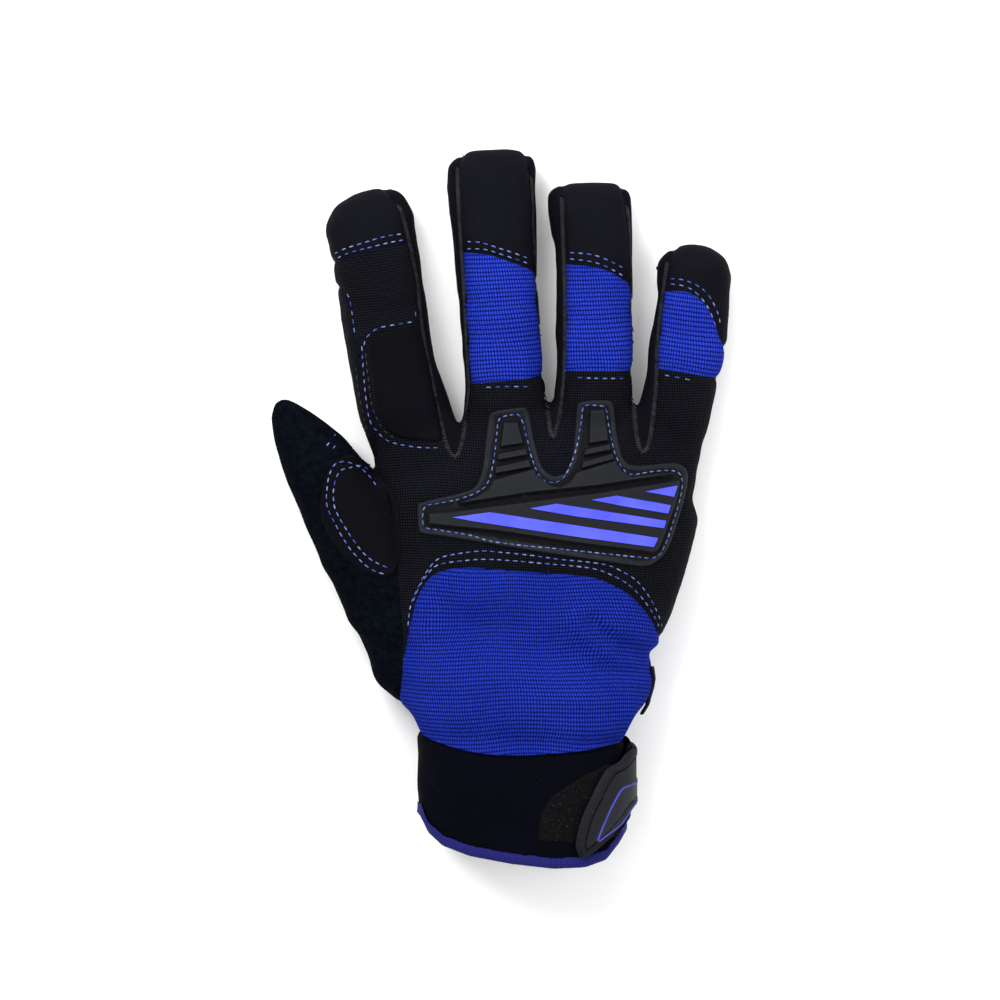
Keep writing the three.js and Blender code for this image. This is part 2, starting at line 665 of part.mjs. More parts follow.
function addSkinPanels() {
  addPiece("palm_leather", pieceAt(palmPieces, hand.point({ across: 0, along: 0.6 })), blackLeather);
  addPiece("thumb_leather", pieceAt(palmPieces, thumb.point({ across: 0, along: 0.6 })), blackLeather);
  addPiece("thumb_fleece", pieceAt(backPieces, thumb.point({ across: 0, along: 0.6 })), fleece);
  addPiece("back_knit", pieceAt(backPieces, hand.point({ across: 0, along: 0.7 })), blackKnit);
  addPiece("wrist_knit", pieceAt(backPieces, hand.point({ across: 0, along: 0.3 })), blueKnit);
  addPiece("index_side_strip", pieceAt(backPieces, index.point({ across: -1.03, along: 0.4 })), blackLeather);
  addPiece("index_tip", pieceAt(backPieces, index.point({ across: 0, along: 0.85 })), blackLeather);
  addPiece("middle_tip", pieceAt(backPieces, middle.point({ across: 0, along: 0.85 })), blackLeather);
  addPiece("ring_tip", pieceAt(backPieces, ring.point({ across: 0, along: 0.85 })), blackLeather);
  addPiece("little_tip", pieceAt(backPieces, little.point({ across: 0, along: 0.85 })), blackLeather);
  addPiece("middle_knit", pieceAt(backPieces, middle.point({ across: 0, along: 0.4 })), blueKnit);
  addPiece("ring_knit", pieceAt(backPieces, ring.point({ across: 0, along: 0.45 })), blueKnit);
  addPiece("little_knit", pieceAt(backPieces, little.point({ across: 0, along: 0.5 })), blueKnit);
  for (const { name, root } of GUSSETS) {
    const web = hand.point({ across: root.across, along: root.along + 0.05 });
    addPiece(name, pieceAt(backPieces, web), blackLeather);
  }
}

function addOverlays() {
  addPiece("index_patch", smoothPatch(index, INDEX_PATCH), blackLeather);
  addPiece("thumb_saddle_patch", smoothPatch(thumb, SADDLE_PATCH), blackLeather);
  addPiece("knuckle_guard", makeGuard(), guardRubber);
  GUARD_STRIPES.forEach((rows, place) => {
    addPiece(`guard_stripe_${place + 1}`, makeStripe(rows), stripeRubber);
  });
}

function addCuff() {
  addPiece("cuff", cuffSolid, neoprene);
  addPiece("cuff_binding", makeBinding(), blueBinding);
  const loopOutline = smoothLoop(cuffPlan.points(LOOP_PATCH));
  addPiece("loop_patch", cuffOverlay(loopOutline, SEAM_GAP, SEAM_GAP + LOOP_THICKNESS, cuffMiddle), loopPile);
  const strapOutline = cuffPlan.points(CLOSURE_STRAP);
  addPiece("closure_strap", cuffOverlay(strapOutline, strapLow, strapLow + STRAP_THICKNESS), neoprene);
  addPiece("closure_tab", makeTab(), guardRubber);
  addPiece("tab_line", makeTabLine(), stripeRubber);
  addPiece("side_tag", makeTag(), blackLeather);
}

addSkinPanels();
addOverlays();
addCuff();

export default glove;
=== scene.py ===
"""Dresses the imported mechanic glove: sewn panels, a moulded knuckle guard, patches, stitches and a wrist closure."""
import math

import bmesh
import bpy
import numpy as np
from bpy.props import FloatProperty, FloatVectorProperty, PointerProperty
from mathutils import Matrix, Vector, noise
from mathutils.bvhtree import BVHTree
from mathutils.kdtree import KDTree


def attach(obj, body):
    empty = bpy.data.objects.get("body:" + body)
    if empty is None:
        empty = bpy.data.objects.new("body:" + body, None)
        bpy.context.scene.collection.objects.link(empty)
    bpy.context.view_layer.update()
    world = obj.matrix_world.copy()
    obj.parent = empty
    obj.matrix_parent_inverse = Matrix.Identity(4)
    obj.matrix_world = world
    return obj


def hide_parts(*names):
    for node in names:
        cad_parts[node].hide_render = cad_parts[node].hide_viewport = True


bl_info = {
    "name": "Mechanic glove",
    "version": (1, 0, 0),
    "blender": (4, 5, 0),
    "location": "3D View > Sidebar > Glove",
    "description": "Builds the sewn, moulded and knitted pieces of a mechanic glove on its packed frame",
    "category": "Object",
}

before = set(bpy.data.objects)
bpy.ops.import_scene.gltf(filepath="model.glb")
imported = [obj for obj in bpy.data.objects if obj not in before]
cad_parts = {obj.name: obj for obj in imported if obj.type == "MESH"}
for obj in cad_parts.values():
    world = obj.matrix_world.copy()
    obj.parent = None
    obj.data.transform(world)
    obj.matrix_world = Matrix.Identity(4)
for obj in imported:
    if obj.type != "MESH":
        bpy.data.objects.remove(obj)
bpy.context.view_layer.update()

MM = 0.001

# On the plan and over the ground, in millimetres
FAR = 400.0                     # beyond the glove on every side
SIDE_SEAM = 6.0                 # height of the seam between the back and the palm
GROUND_GAP = 0.05
SEAM_STEP = 2.5                 # step along the seams that the skin is cut at
PALM_SEAM_STEP = 3
SLIT_MARGIN = 0.45
HEM_TOP = -70                   # the part of the cuff below this shapes its tube
CUFF_REACH = (-14, 50)          # the tube goes on so far past its two ends
TUCK_REACH = 5.5                # width of the hand's edge that rolls down onto the cuff
TUCK_LIFT = 0.9
TUCK_UNDER = 6.0                # the cuff goes on so far under the hand

# Rounds of smoothing
SKIN_SMOOTHING = 17
CUFF_SMOOTHING = 22
BINDING_SMOOTHING = 9

# Heights of the mouldings over what they lie on, in millimetres
GUARD_TOP = 3.3
STRIPE_TOP = 3.6
TAB_TOP = 4.7
TAB_LINE_TOP = 4.85
TAB_LIFT = 4.6                  # height that the tab's outline is wrapped round the cuff at
STITCH_HEIGHT = 0.8             # share of its width

# Camera, in metres
CAMERA_DISTANCE = 4.5
CAMERA_PLAN = (-0.01536, 0.02047)
SUBJECT_HEIGHT = 0.012
FRAME_WIDTH = 0.34123
SENSOR_WIDTH = 36

# Axes of the wrist, fingers and cuff on the plan: root in millimetres, lean in degrees, half width and half height.
AXES = {
    "wrist": ((-9.0, -30.0), 0.0, 43.0, 22.0),
    "index": ((-45.7, 40.8), -9.8, 15.0, 12.0),
    "middle": ((-13.6, 40.8), -3.2, 14.5, 12.0),
    "ring": ((17.4, 40.8), -1.6, 13.8, 12.0),
    "little": ((42.3, 40.8), 8.2, 12.5, 12.0),
    "cuff": ((-7.8, -84.0), 0.0, 35.5, 17.7),
}

# Seams on the plan, in millimetres
WRIST_SEAM = [
    (-83.6, -38.2), (-70.0, -43.0), (-56.3, -48.8), (-48.1, -52.5), (-42.7, -59.0), (-35.8, -61.8), (-29.0, -63.8),
    (-22.2, -65.2), (-15.4, -65.9), (-5.1, -65.9), (5.1, -65.2), (15.4, -64.2), (22.2, -62.8), (26.3, -62.1),
    (30.4, -58.3), (34.5, -52.9), (42.7, -46.1), (59.7, -37.5),
]
THUMB_SEAM = [
    (-83.6, 61.4), (-69.6, 44.7), (-58.3, 30.7), (-54.6, 23.9), (-51.2, 6.8), (-49.5, -10.2), (-48.5, -27.3),
    (-49.5, -42.0), (-50.8, -53.2), (-52.9, -68.2),
]
PALM_THUMB_SEAM = [
    (-83.6, 61.4), (-69.6, 44.7), (-58.3, 30.7), (-49.5, 13.6), (-40.9, -6.8), (-38.6, -30.7), (-41.6, -47.4),
    (-51.2, -68.2),
]
KNIT_SEAM = [
    (-52.2, -47.8), (-49.1, -40.9), (-48.5, -34.8), (-47.1, -28.3), (-45.7, -21.8), (-44.4, -15.4), (-42.3, -10.2),
    (-39.2, -5.8), (-35.5, -3.8), (-30.7, -2.7), (-25.6, -2.4), (-15.4, -3.1), (-1.7, -4.1), (11.9, -5.1),
    (18.8, -6.5), (23.9, -8.9), (29.0, -11.9), (34.1, -17.1), (37.5, -22.5), (39.6, -27.3), (44.4, -31.4),
    (56.3, -35.8),
]
TIP_SEAMS = {
    "index": [(-81.9, 97.2), (-76.1, 100.0), (-71.7, 101.7), (-66.5, 103.4), (-59.7, 105.4), (-52.9, 106.8),
        (-46.7, 107.8), (-38.6, 108.5)],
    "middle": [(-36.5, 105.1), (-28.0, 104.8), (-22.2, 104.4), (-17.1, 103.4), (-11.9, 101.7), (-6.8, 100.0),
        (-2.7, 98.3), (3.8, 95.9)],
    "ring": [(0.0, 101.0), (7.2, 100.7), (15.4, 100.0), (22.2, 98.3), (28.0, 95.2), (35.1, 91.1)],
    "little": [(34.5, 92.1), (40.6, 91.8), (46.1, 91.8), (49.5, 91.1), (52.9, 89.1), (56.3, 84.6), (59.0, 79.5),
        (61.1, 73.4), (67.2, 64.2)],
}
KNUCKLE_SEAMS = {
    "middle": [(-33.8, 59.0), (-24.9, 60.1), (-18.8, 60.7), (-8.5, 61.4), (-3.1, 62.4), (5.8, 64.8)],
    "ring": [(-1.7, 64.8), (8.9, 64.5), (18.8, 64.2), (28.3, 64.5), (36.5, 64.8)],
    "little": [(31.7, 66.9), (39.2, 65.2), (49.5, 63.5), (58.0, 62.1), (66.5, 61.1)],
}
INDEX_SIDE_SEAM = [
    (-77.5, 94.2), (-70.6, 93.2), (-67.9, 91.1), (-66.2, 85.3), (-65.2, 76.8), (-63.1, 68.2), (-61.1, 58.0),
    (-59.4, 47.8), (-58.0, 37.5), (-58.0, 30.4),
]
GUSSET_SEAMS = {
    "fourchette_index_middle": [(-59.0, 133.1), (-54.3, 126.3), (-50.5, 121.8), (-48.1, 115.3), (-46.4, 108.5),
        (-45.0, 101.7), (-43.7, 94.9), (-42.7, 85.3), (-41.3, 74.4), (-39.2, 64.8), (-37.2, 54.6), (-35.1, 45.0),
        (-33.1, 38.2), (-30.7, 35.1), (-28.7, 38.2), (-27.3, 46.1), (-26.3, 54.6), (-25.9, 59.7), (-26.6, 71.7),
        (-27.3, 85.3), (-28.0, 99.0), (-28.7, 109.2), (-29.3, 121.1), (-29.7, 132.4), (-28.3, 138.2),
        (-25.6, 145.0)],
    "fourchette_middle_ring": [(-9.2, 145.0), (-6.5, 138.9), (-5.1, 132.4), (-4.4, 122.8), (-4.1, 112.6),
        (-3.4, 102.4), (-2.7, 88.7), (-1.4, 73.4), (0.0, 59.7), (1.0, 49.5), (2.4, 41.6), (4.1, 46.1), (5.5, 52.9),
        (6.5, 63.1), (6.8, 75.1), (6.8, 88.7), (6.5, 102.4), (6.1, 114.3), (5.8, 124.5), (6.8, 130.3),
        (9.2, 134.8)],
    "fourchette_ring_little": [(22.9, 134.8), (25.9, 129.0), (27.6, 121.8), (28.7, 110.9), (29.3, 97.2),
        (29.7, 81.9), (30.0, 64.8), (30.4, 51.2), (31.4, 40.9), (33.4, 36.5), (35.5, 40.9), (36.9, 49.5),
        (37.9, 59.7), (38.2, 71.7), (39.2, 82.6), (40.6, 93.2), (42.0, 101.7), (44.4, 107.1), (47.4, 111.9)],
}
HEM_LINE = [
    (-56.3, -71.7), (-46.4, -79.2), (-43.0, -84.6), (-41.3, -88.0), (-38.9, -91.8), (-35.1, -95.2), (-28.3, -98.3),
    (-21.5, -100.3), (-14.0, -102.0), (-5.1, -103.4), (3.8, -104.1), (12.6, -103.7), (18.8, -102.0), (22.9, -99.0),
    (25.3, -94.9), (28.0, -88.7), (35.8, -78.5),
]

# Outlines of the pieces that lie on the skin
INDEX_PATCH = [
    (-59.0, 73.4), (-57.3, 76.8), (-53.6, 78.1), (-45.4, 79.2), (-42.7, 78.1), (-40.9, 71.7), (-38.9, 63.1),
    (-36.9, 52.9), (-35.5, 44.4), (-35.8, 40.6), (-40.9, 40.6), (-47.8, 41.3), (-51.9, 43.0), (-54.6, 45.7),
    (-56.3, 50.5), (-57.7, 59.7), (-58.7, 68.2),
]
SADDLE_PATCH = [
    (-58.3, 30.7), (-62.4, 34.1), (-66.5, 35.5), (-70.3, 34.5), (-73.4, 31.4), (-75.4, 26.6), (-76.4, 20.5),
    (-76.1, 15.0), (-74.0, 9.6), (-70.6, 4.1), (-66.5, -0.7), (-62.1, -3.8), (-57.0, -5.8), (-52.9, -5.5),
    (-49.8, -2.0), (-48.8, 5.1), (-49.5, 13.6), (-50.8, 20.5), (-54.6, 26.6),
]
GUARD_OUTLINE = [
    (-43.3, 18.4), (-41.3, 19.8), (-34.1, 21.5), (-28.3, 22.9), (-23.9, 24.9), (-21.5, 30.0), (-20.5, 37.5),
    (-19.4, 47.1), (-18.8, 49.5), (-16.4, 50.8), (-7.8, 51.9), (-5.8, 50.5), (-4.8, 46.4), (-3.1, 38.2),
    (-1.0, 31.7), (1.7, 29.0), (4.4, 28.7), (7.2, 30.4), (9.2, 35.8), (10.2, 44.4), (10.9, 51.9), (12.6, 53.9),
    (21.2, 54.3), (23.2, 52.5), (23.9, 47.1), (25.3, 38.2), (27.6, 33.1), (32.4, 32.1), (39.9, 32.8), (45.0, 32.8),
    (48.1, 30.4), (48.1, 25.3), (45.4, 14.3), (41.6, 4.1), (38.2, 0.0), (34.1, -2.0), (28.3, -1.7), (18.8, -0.3),
    (5.1, 1.7), (-8.5, 3.8), (-22.2, 6.1), (-35.8, 8.2), (-41.3, 8.9), (-43.0, 10.6),
]
GUARD_STITCHES = [
    (-40.9, 11.3), (-35.8, 10.2), (-25.6, 8.5), (-18.8, 6.5), (-8.5, 5.1), (5.1, 3.8), (18.8, 2.4), (32.4, 1.0),
    (37.2, 1.0), (40.3, 4.4), (44.0, 14.7), (46.4, 23.9), (46.1, 28.7), (43.3, 30.4), (35.8, 30.0), (29.7, 29.0),
    (26.6, 30.7), (23.9, 35.8), (21.8, 44.4), (20.5, 51.5), (18.1, 52.5), (13.3, 52.2), (12.3, 47.1), (10.9, 39.2),
    (8.5, 32.1), (5.8, 27.6), (2.0, 26.3), (-1.4, 28.0), (-4.1, 33.4), (-6.1, 40.9), (-8.2, 48.1), (-10.2, 49.5),
    (-15.4, 48.1), (-16.4, 42.7), (-17.4, 34.1), (-19.1, 27.0), (-22.2, 23.5), (-29.0, 20.8), (-35.8, 19.4),
    (-40.3, 18.4), (-41.6, 15.7),
]
GUARD_STRIPES = [
    [(-31.4, 14.5), (-18.8, 16.2), (37.9, 7.5), (37.5, 6.3), (36.5, 4.4), (8.2, 8.2), (-15.4, 11.8), (-24.9, 13.3)],
    [(-5.2, 17.5), (3.8, 19.1), (40.6, 13.3), (39.9, 10.8), (10.2, 14.8)],
    [(15.6, 20.4), (24.1, 21.8), (42.1, 18.6), (41.2, 15.8), (25.1, 18.5)],
    [(33.7, 23.2), (44.5, 25.3), (43.2, 21.5)],
]
GUARD_FACES = [
    [(-38.9, 15.4), (-31.4, 16.0), (-6.8, 19.3), (18.8, 22.5), (44.7, 26.6), (45.0, 24.2), (42.7, 18.1),
     (40.6, 11.6), (37.9, 3.8), (35.8, 3.1), (8.2, 6.5), (-15.4, 10.2), (-29.0, 11.6), (-38.9, 12.6)],
    [(-28.3, 19.6), (-22.9, 21.2), (-19.1, 23.5), (-17.1, 26.8), (-3.8, 30.5), (-1.4, 27.6), (1.7, 24.9),
     (5.1, 24.2), (8.5, 25.9), (10.9, 29.3), (24.1, 33.4), (25.6, 30.0), (29.0, 27.8), (42.3, 29.3), (18.8, 25.7),
     (-6.8, 23.0)],
    [(-13.8, 46.4), (-9.6, 46.4), (-7.8, 39.6), (-14.8, 38.6)],
    [(-15.7, 35.7), (-6.7, 37.4), (-6.3, 35.8), (-15.9, 34.1)],
    [(-16.4, 31.3), (-5.7, 33.7), (-5.1, 31.7), (-16.7, 29.5)],
    [(15.7, 50.8), (19.8, 50.8), (21.2, 40.6), (15.2, 39.6)],
    [(13.8, 37.2), (21.7, 38.9), (22.0, 37.4), (13.5, 35.7)],
    [(13.0, 33.0), (22.7, 35.8), (23.1, 34.3), (12.6, 31.3)],
]

# Closure on the cuff
LOOP_PATCH = [
    (-1.9, -94.9), (-1.9, -89.4), (-0.9, -85.0), (1.4, -81.2), (4.1, -78.8), (8.5, -76.1), (13.0, -73.4),
    (18.1, -71.1), (22.9, -69.3), (29.0, -73.4), (31.1, -88.7), (18.8, -96.2), (5.1, -95.5),
]
CLOSURE_TAB = [
    (13.6, -101.0), (11.8, -97.6), (11.9, -94.9), (13.0, -90.1), (14.7, -85.3), (17.1, -80.5), (19.4, -75.8),
    (22.2, -71.3), (24.2, -69.8), (27.0, -68.2), (29.7, -65.2), (34.5, -62.8), (42.0, -61.1), (52.9, -60.4),
    (52.9, -77.1), (42.0, -79.2), (34.5, -81.6), (31.1, -83.9), (28.3, -88.0), (24.2, -92.8), (20.8, -96.2),
    (16.7, -99.6),
]
CLOSURE_STRAP = [
    (18.1, -93.5), (20.8, -86.0), (24.9, -77.1), (27.6, -69.6), (28.3, -64.8), (29.3, -62.1), (34.5, -60.1),
    (42.0, -59.0), (52.9, -58.7), (52.9, -79.2), (42.0, -81.2), (32.4, -84.6), (24.9, -92.8),
]
TAB_FACE = [
    (17.9, -95.9), (17.4, -94.5), (18.4, -92.1), (20.5, -87.4), (22.9, -82.2), (25.4, -77.8), (27.0, -76.6),
    (30.4, -75.2), (34.5, -73.7), (42.0, -72.0), (50.8, -71.3), (50.8, -75.4), (42.0, -77.1), (34.5, -79.5),
    (30.0, -82.2), (26.3, -88.7), (22.9, -91.8), (20.1, -94.2),
]
TAB_LINE = [
    (17.9, -95.0), (18.8, -92.5), (20.8, -87.7), (23.2, -82.6), (25.8, -78.1), (27.3, -77.1), (30.7, -75.8),
    (34.8, -74.2), (42.3, -72.5), (50.8, -72.0),
]
TAB_LOWER_LINE = [
    (18.3, -95.4), (20.8, -93.5), (22.9, -92.0), (26.3, -89.1), (29.3, -84.6), (32.4, -81.2), (39.2, -78.1),
]

# Soft folds in the skin: a line on the plan, its depth and half width in millimetres
FOLDS = [
    ([(-31.7, -17.7), (-15.4, -24.6), (1.7, -32.4), (15.4, -36.9), (27.3, -38.2)], 1.3, 7.0),
    ([(39.9, -32.4), (32.4, -31.4), (22.9, -27.3), (15.4, -21.2)], 1.5, 2.6),
    ([(37.5, -36.9), (29.0, -38.2), (18.8, -36.9)], 0.8, 2.2),
    ([(-46.1, -44.4), (-32.4, -48.5), (-15.4, -47.8)], 0.5, 5.0),
    ([(-42.7, -34.1), (-35.8, -27.3), (-25.6, -23.2)], 0.5, 4.0),
    ([(32.4, -47.8), (18.8, -51.9), (5.1, -51.9)], 0.6, 4.0),
    ([(-70.0, 87.0), (-58.0, 84.6), (-46.1, 86.7)], 0.5, 2.6),
    ([(-68.2, 78.5), (-59.0, 81.2)], 0.5, 2.0),
    ([(-26.3, 88.7), (-15.4, 86.7), (-5.1, 88.0)], 0.35, 3.0),
    ([(-25.6, 75.1), (-13.6, 76.8), (-2.4, 74.4)], 0.35, 3.0),
    ([(7.8, 81.9), (18.8, 79.8), (28.3, 81.9)], 0.35, 3.0),
    ([(39.2, 78.5), (49.5, 75.8), (59.7, 78.5)], 0.35, 3.0),
    ([(-90.4, 37.5), (-83.6, 35.8), (-73.4, 38.2)], 0.5, 3.0),
    ([(-83.6, 20.5), (-77.5, 13.6), (-76.1, 5.1)], 0.7, 3.5),
    ([(-68.2, -6.8), (-63.1, -13.6), (-54.6, -17.1)], 0.9, 4.0),
    ([(-63.1, -27.3), (-56.3, -30.7), (-50.2, -30.0)], 0.8, 4.0),
    ([(-54.6, -44.4), (-50.2, -38.2)], 0.7, 3.0),
    ([(49.5, 20.5), (43.3, 13.6)], 0.8, 3.0),
    ([(-30.7, 34.1), (-35.8, 30.7), (-44.4, 29.0)], 0.5, 3.0),
    ([(-39.2, -81.9), (-25.6, -89.4), (-8.5, -92.8)], 0.5, 6.0),
    ([(-41.3, -68.2), (-35.8, -78.5)], 0.4, 5.0),
]

# Gaps between the fingers, cut right through
SLITS = [
    [(-40.3, 90.1), (-39.6, 81.9), (-38.9, 76.4), (-38.2, 71.0), (-36.5, 65.5), (-34.5, 60.1), (-32.4, 54.6),
     (-31.1, 49.5), (-29.3, 44.0), (-28.0, 48.5), (-27.3, 54.6), (-27.3, 60.1), (-27.6, 65.5), (-28.3, 71.0),
     (-28.7, 76.4), (-29.0, 81.9), (-29.3, 90.1)],
    [(-2.7, 109.2), (-2.7, 98.3), (-2.4, 92.8), (-2.0, 87.4), (-1.7, 81.9), (-1.4, 76.4), (-1.0, 71.0),
     (-0.7, 65.5), (0.0, 60.1), (0.7, 54.6), (1.7, 48.8), (2.7, 54.6), (3.4, 60.1), (3.8, 65.5), (3.8, 71.0),
     (3.8, 76.4), (3.8, 81.9), (3.8, 87.4), (3.8, 98.3), (3.1, 109.2)],
    [(30.0, 92.1), (30.0, 81.9), (30.0, 71.0), (30.0, 65.5), (30.0, 60.1), (30.0, 54.6), (31.1, 48.5), (32.4, 54.6),
     (33.8, 60.1), (34.8, 65.5), (35.1, 71.0), (35.8, 76.4), (37.2, 81.9), (38.2, 87.4), (38.9, 92.1)],
]

# Places where the form is pushed outwards on the plan: place, shift and reach in millimetres
PUSHES = [
    ((27.0, 125.6), (1.3, 0.7), 6.0),
    ((3.4, 125.6), (-1.3, 0.6), 6.0),
    ((-5.5, 136.5), (1.5, 0.6), 6.0),
    ((-31.1, 134.4), (-0.7, 0.3), 6.0),
    ((-52.9, 124.2), (1.8, 0.9), 8.0),
    ((-65.9, 124.2), (0.3, -0.4), 7.0),
    ((-54.3, -44.4), (-1.5, -0.4), 9.0),
    ((37.5, -46.1), (-1.3, 0.0), 11.0),
    ((62.1, 73.4), (1.0, 0.0), 10.0),
    ((60.7, 99.6), (0.6, 0.4), 6.0),
    ((40.6, 101.7), (-0.6, 0.2), 5.0),
]

# Stitch rows on the skin and on the patches
FAINT_ROWS = [
    [(-61.1, 71.0), (-60.1, 61.4), (-58.7, 51.9), (-56.3, 46.4), (-53.9, 43.3), (-50.8, 41.3)],
    [(-64.5, 66.5), (-63.5, 58.0), (-61.8, 49.5), (-59.7, 40.9)],
]
THREAD_ROWS = [
    [(-72.3, 104.1), (-68.2, 106.1), (-61.4, 108.2), (-54.6, 110.2), (-48.5, 111.2)],
    [(-71.3, 102.7), (-66.5, 104.8), (-59.7, 106.5), (-52.9, 108.2), (-47.8, 109.2)],
    [(-27.3, 108.5), (-22.2, 108.2), (-15.4, 106.1), (-10.2, 104.4), (-5.5, 102.7)],
    [(-27.3, 106.1), (-20.5, 105.8), (-13.6, 103.7), (-5.5, 101.0)],
    [(7.8, 104.8), (15.4, 104.1), (20.8, 102.4), (27.0, 99.3)],
    [(7.8, 102.7), (15.4, 101.7), (20.8, 100.0), (27.0, 96.6)],
    [(42.0, 95.9), (46.7, 95.5), (51.2, 93.8), (54.6, 91.4), (57.0, 88.0), (59.0, 83.6), (59.7, 80.2)],
    [(42.0, 94.2), (46.7, 93.5), (50.5, 91.8), (53.9, 88.4), (56.3, 84.3), (58.3, 79.2)],
    [(-20.8, 58.7), (-13.6, 59.0), (-5.1, 59.0)],
    [(10.6, 62.1), (18.8, 61.8), (27.3, 61.8)],
    [(39.6, 63.1), (45.4, 62.1), (50.2, 61.1)],
    [(-67.9, 91.4), (-66.5, 88.7), (-65.5, 82.6), (-64.8, 76.8)],
    [(-69.6, 92.1), (-68.2, 93.2)],
    [(-44.4, 85.6), (-44.0, 81.9)],
    [(-61.8, 72.3), (-60.7, 75.8), (-57.0, 78.8), (-52.9, 79.8), (-44.7, 81.2)],
    [(-62.4, 73.4), (-61.8, 64.8), (-61.1, 56.3), (-59.7, 47.8), (-57.0, 43.7), (-53.9, 40.9), (-50.5, 39.6),
     (-45.4, 38.6), (-40.6, 38.2), (-35.8, 38.2)],
    [(-57.3, 24.9), (-59.7, 28.3), (-63.1, 31.4), (-66.5, 33.1), (-69.3, 33.4), (-71.7, 32.4), (-73.4, 29.0),
     (-74.0, 25.6), (-74.4, 20.5), (-73.7, 17.1), (-71.7, 13.0), (-69.3, 8.5), (-66.5, 4.1), (-63.8, 1.0),
     (-61.1, -1.7), (-57.7, -3.8), (-54.3, -4.8)],
    [(-59.7, 30.7), (-63.1, 32.1), (-66.5, 31.4), (-69.6, 30.4), (-71.3, 27.3), (-72.0, 23.2), (-71.7, 18.4),
     (-70.3, 15.0), (-67.9, 10.9), (-65.2, 6.8), (-62.4, 3.1), (-59.4, 0.3), (-56.3, -1.4), (-53.2, -2.7)],
    [(-75.1, 37.9), (-70.6, 44.0)],
    [(-73.0, 36.9), (-68.6, 43.0)],
    [(-46.7, -22.9), (-45.7, -15.4), (-43.3, -9.6), (-40.6, -4.4), (-36.9, 0.0), (-32.4, 1.7), (-22.2, 3.1),
     (-15.4, 2.7), (-5.1, 1.7), (5.1, 0.3), (15.4, -0.7), (22.2, -2.0), (29.0, -5.5), (32.4, -8.5), (35.8, -13.3),
     (38.2, -18.1), (39.9, -23.2)],
    [(-45.0, -14.3), (-42.7, -8.9), (-39.2, -3.8), (-35.8, -1.4), (-29.0, -0.3), (-18.8, 0.3), (-1.7, -1.0),
     (15.4, -2.7), (23.5, -5.5), (29.0, -8.9), (33.8, -14.0), (36.9, -18.8), (38.9, -23.2)],
]


class GloveSettings(bpy.types.PropertyGroup):
    """Sizes and colours that a user would change"""
    skin_cell: FloatProperty(
        name="Skin fineness", description="Cell size of the skin's mesh", unit="LENGTH", default=1.05 * MM)
    skin_wall: FloatProperty(
        name="Skin wall", description="Thickness of the sewn panels", unit="LENGTH", default=1.2 * MM)
    cuff_wall: FloatProperty(
        name="Cuff wall", description="Thickness of the neoprene cuff", unit="LENGTH", default=2.2 * MM)
    seam_depth: FloatProperty(
        name="Seam depth", description="How far the panels roll in at a seam", unit="LENGTH", default=0.75 * MM)
    seam_width: FloatProperty(
        name="Seam width", description="Half width of the roll beside a seam", unit="LENGTH", default=1.3 * MM)
    stitch_length: FloatProperty(
        name="Stitch length", description="Length of one visible stitch", unit="LENGTH", default=1.75 * MM)
    stitch_gap: FloatProperty(
        name="Stitch gap", description="Gap between stitches", unit="LENGTH", default=0.95 * MM)
    thread_width: FloatProperty(
        name="Thread width", description="Thickness of the sewing thread", unit="LENGTH", default=0.5 * MM)
    # The knit takes a dark copy of this colour for painted shade between its loops, and brightened copies for painted
    # highlight on their tops.
    knit_blue: FloatVectorProperty(
        name="Blue knit", description="Colour of the blue knit panels", subtype="COLOR", size=3, min=0, max=1,
        default=(0.0098, 0.0205, 0.215))
    stripe_violet: FloatVectorProperty(
        name="Guard stripes", description="Colour of the inlaid stripes", subtype="COLOR", size=3, min=0, max=1,
        default=(0.060, 0.070, 0.60))
    thread_blue: FloatVectorProperty(
        name="Thread", description="Colour of the sewing thread", subtype="COLOR", size=3, min=0, max=1,
        default=(0.008, 0.036, 0.22))
    leather_black: FloatVectorProperty(
        name="Leather", description="Colour of the synthetic leather", subtype="COLOR", size=3, min=0, max=1,
        default=(0.0027, 0.0027, 0.0048))
    # The lit colour of the guard and the tab: their painted shade darkens it towards near black in grooves and
    # channels.
    rubber_grey: FloatVectorProperty(
        name="Guard rubber", description="Colour of the moulded guard", subtype="COLOR", size=3, min=0, max=1,
        default=(0.0115, 0.0132, 0.0180))


def settings():
    return bpy.context.scene.glove


# Plan lines

def through(points, step=0.8, closed=False):
    """A smooth line through plan points, resampled at even steps."""
    p = np.array(points, float)
    if closed:
        p = np.vstack([p[-1:], p, p[:2]])
    else:
        p = np.vstack([2 * p[0] - p[1], p, 2 * p[-1] - p[-2]])
    t = np.linspace(0, 1, 12, endpoint=False)[:, None]
    spans = []
    for a, b, c, d in zip(p[:-3], p[1:-2], p[2:-1], p[3:]):
        spans.append(0.5 * (2 * b + (c - a) * t + (2 * a - 5 * b + 4 * c - d) * t ** 2
                            + (3 * b - 3 * c + d - a) * t ** 3))
    dense = np.vstack(spans + [p[1:2] if closed else p[-2:-1]])
    return even(dense, step, closed)


def even(dense, step, closed):
    """Points at even steps along a plan line."""
    lengths = np.r_[0, np.cumsum(np.linalg.norm(np.diff(dense, axis=0), axis=1))]
    count = max(2, int(round(lengths[-1] / step)))
    marks = np.linspace(0, lengths[-1], count + 1)
    line = np.stack([np.interp(marks, lengths, dense[:, k]) for k in (0, 1)], axis=1)
    return line[:-1] if closed else line


def inside(points, polygon):
    """Which plan points lie in a polygon."""
    x, y = points[:, 0], points[:, 1]
    found = np.zeros(len(points), bool)
    polygon = np.asarray(polygon, float)
    for (x0, y0), (x1, y1) in zip(polygon, np.roll(polygon, -1, axis=0)):
        crossed = (y0 > y) != (y1 > y)
        if y1 != y0:
            found ^= crossed & (x < (x1 - x0) * (y - y0) / (y1 - y0) + x0)
    return found


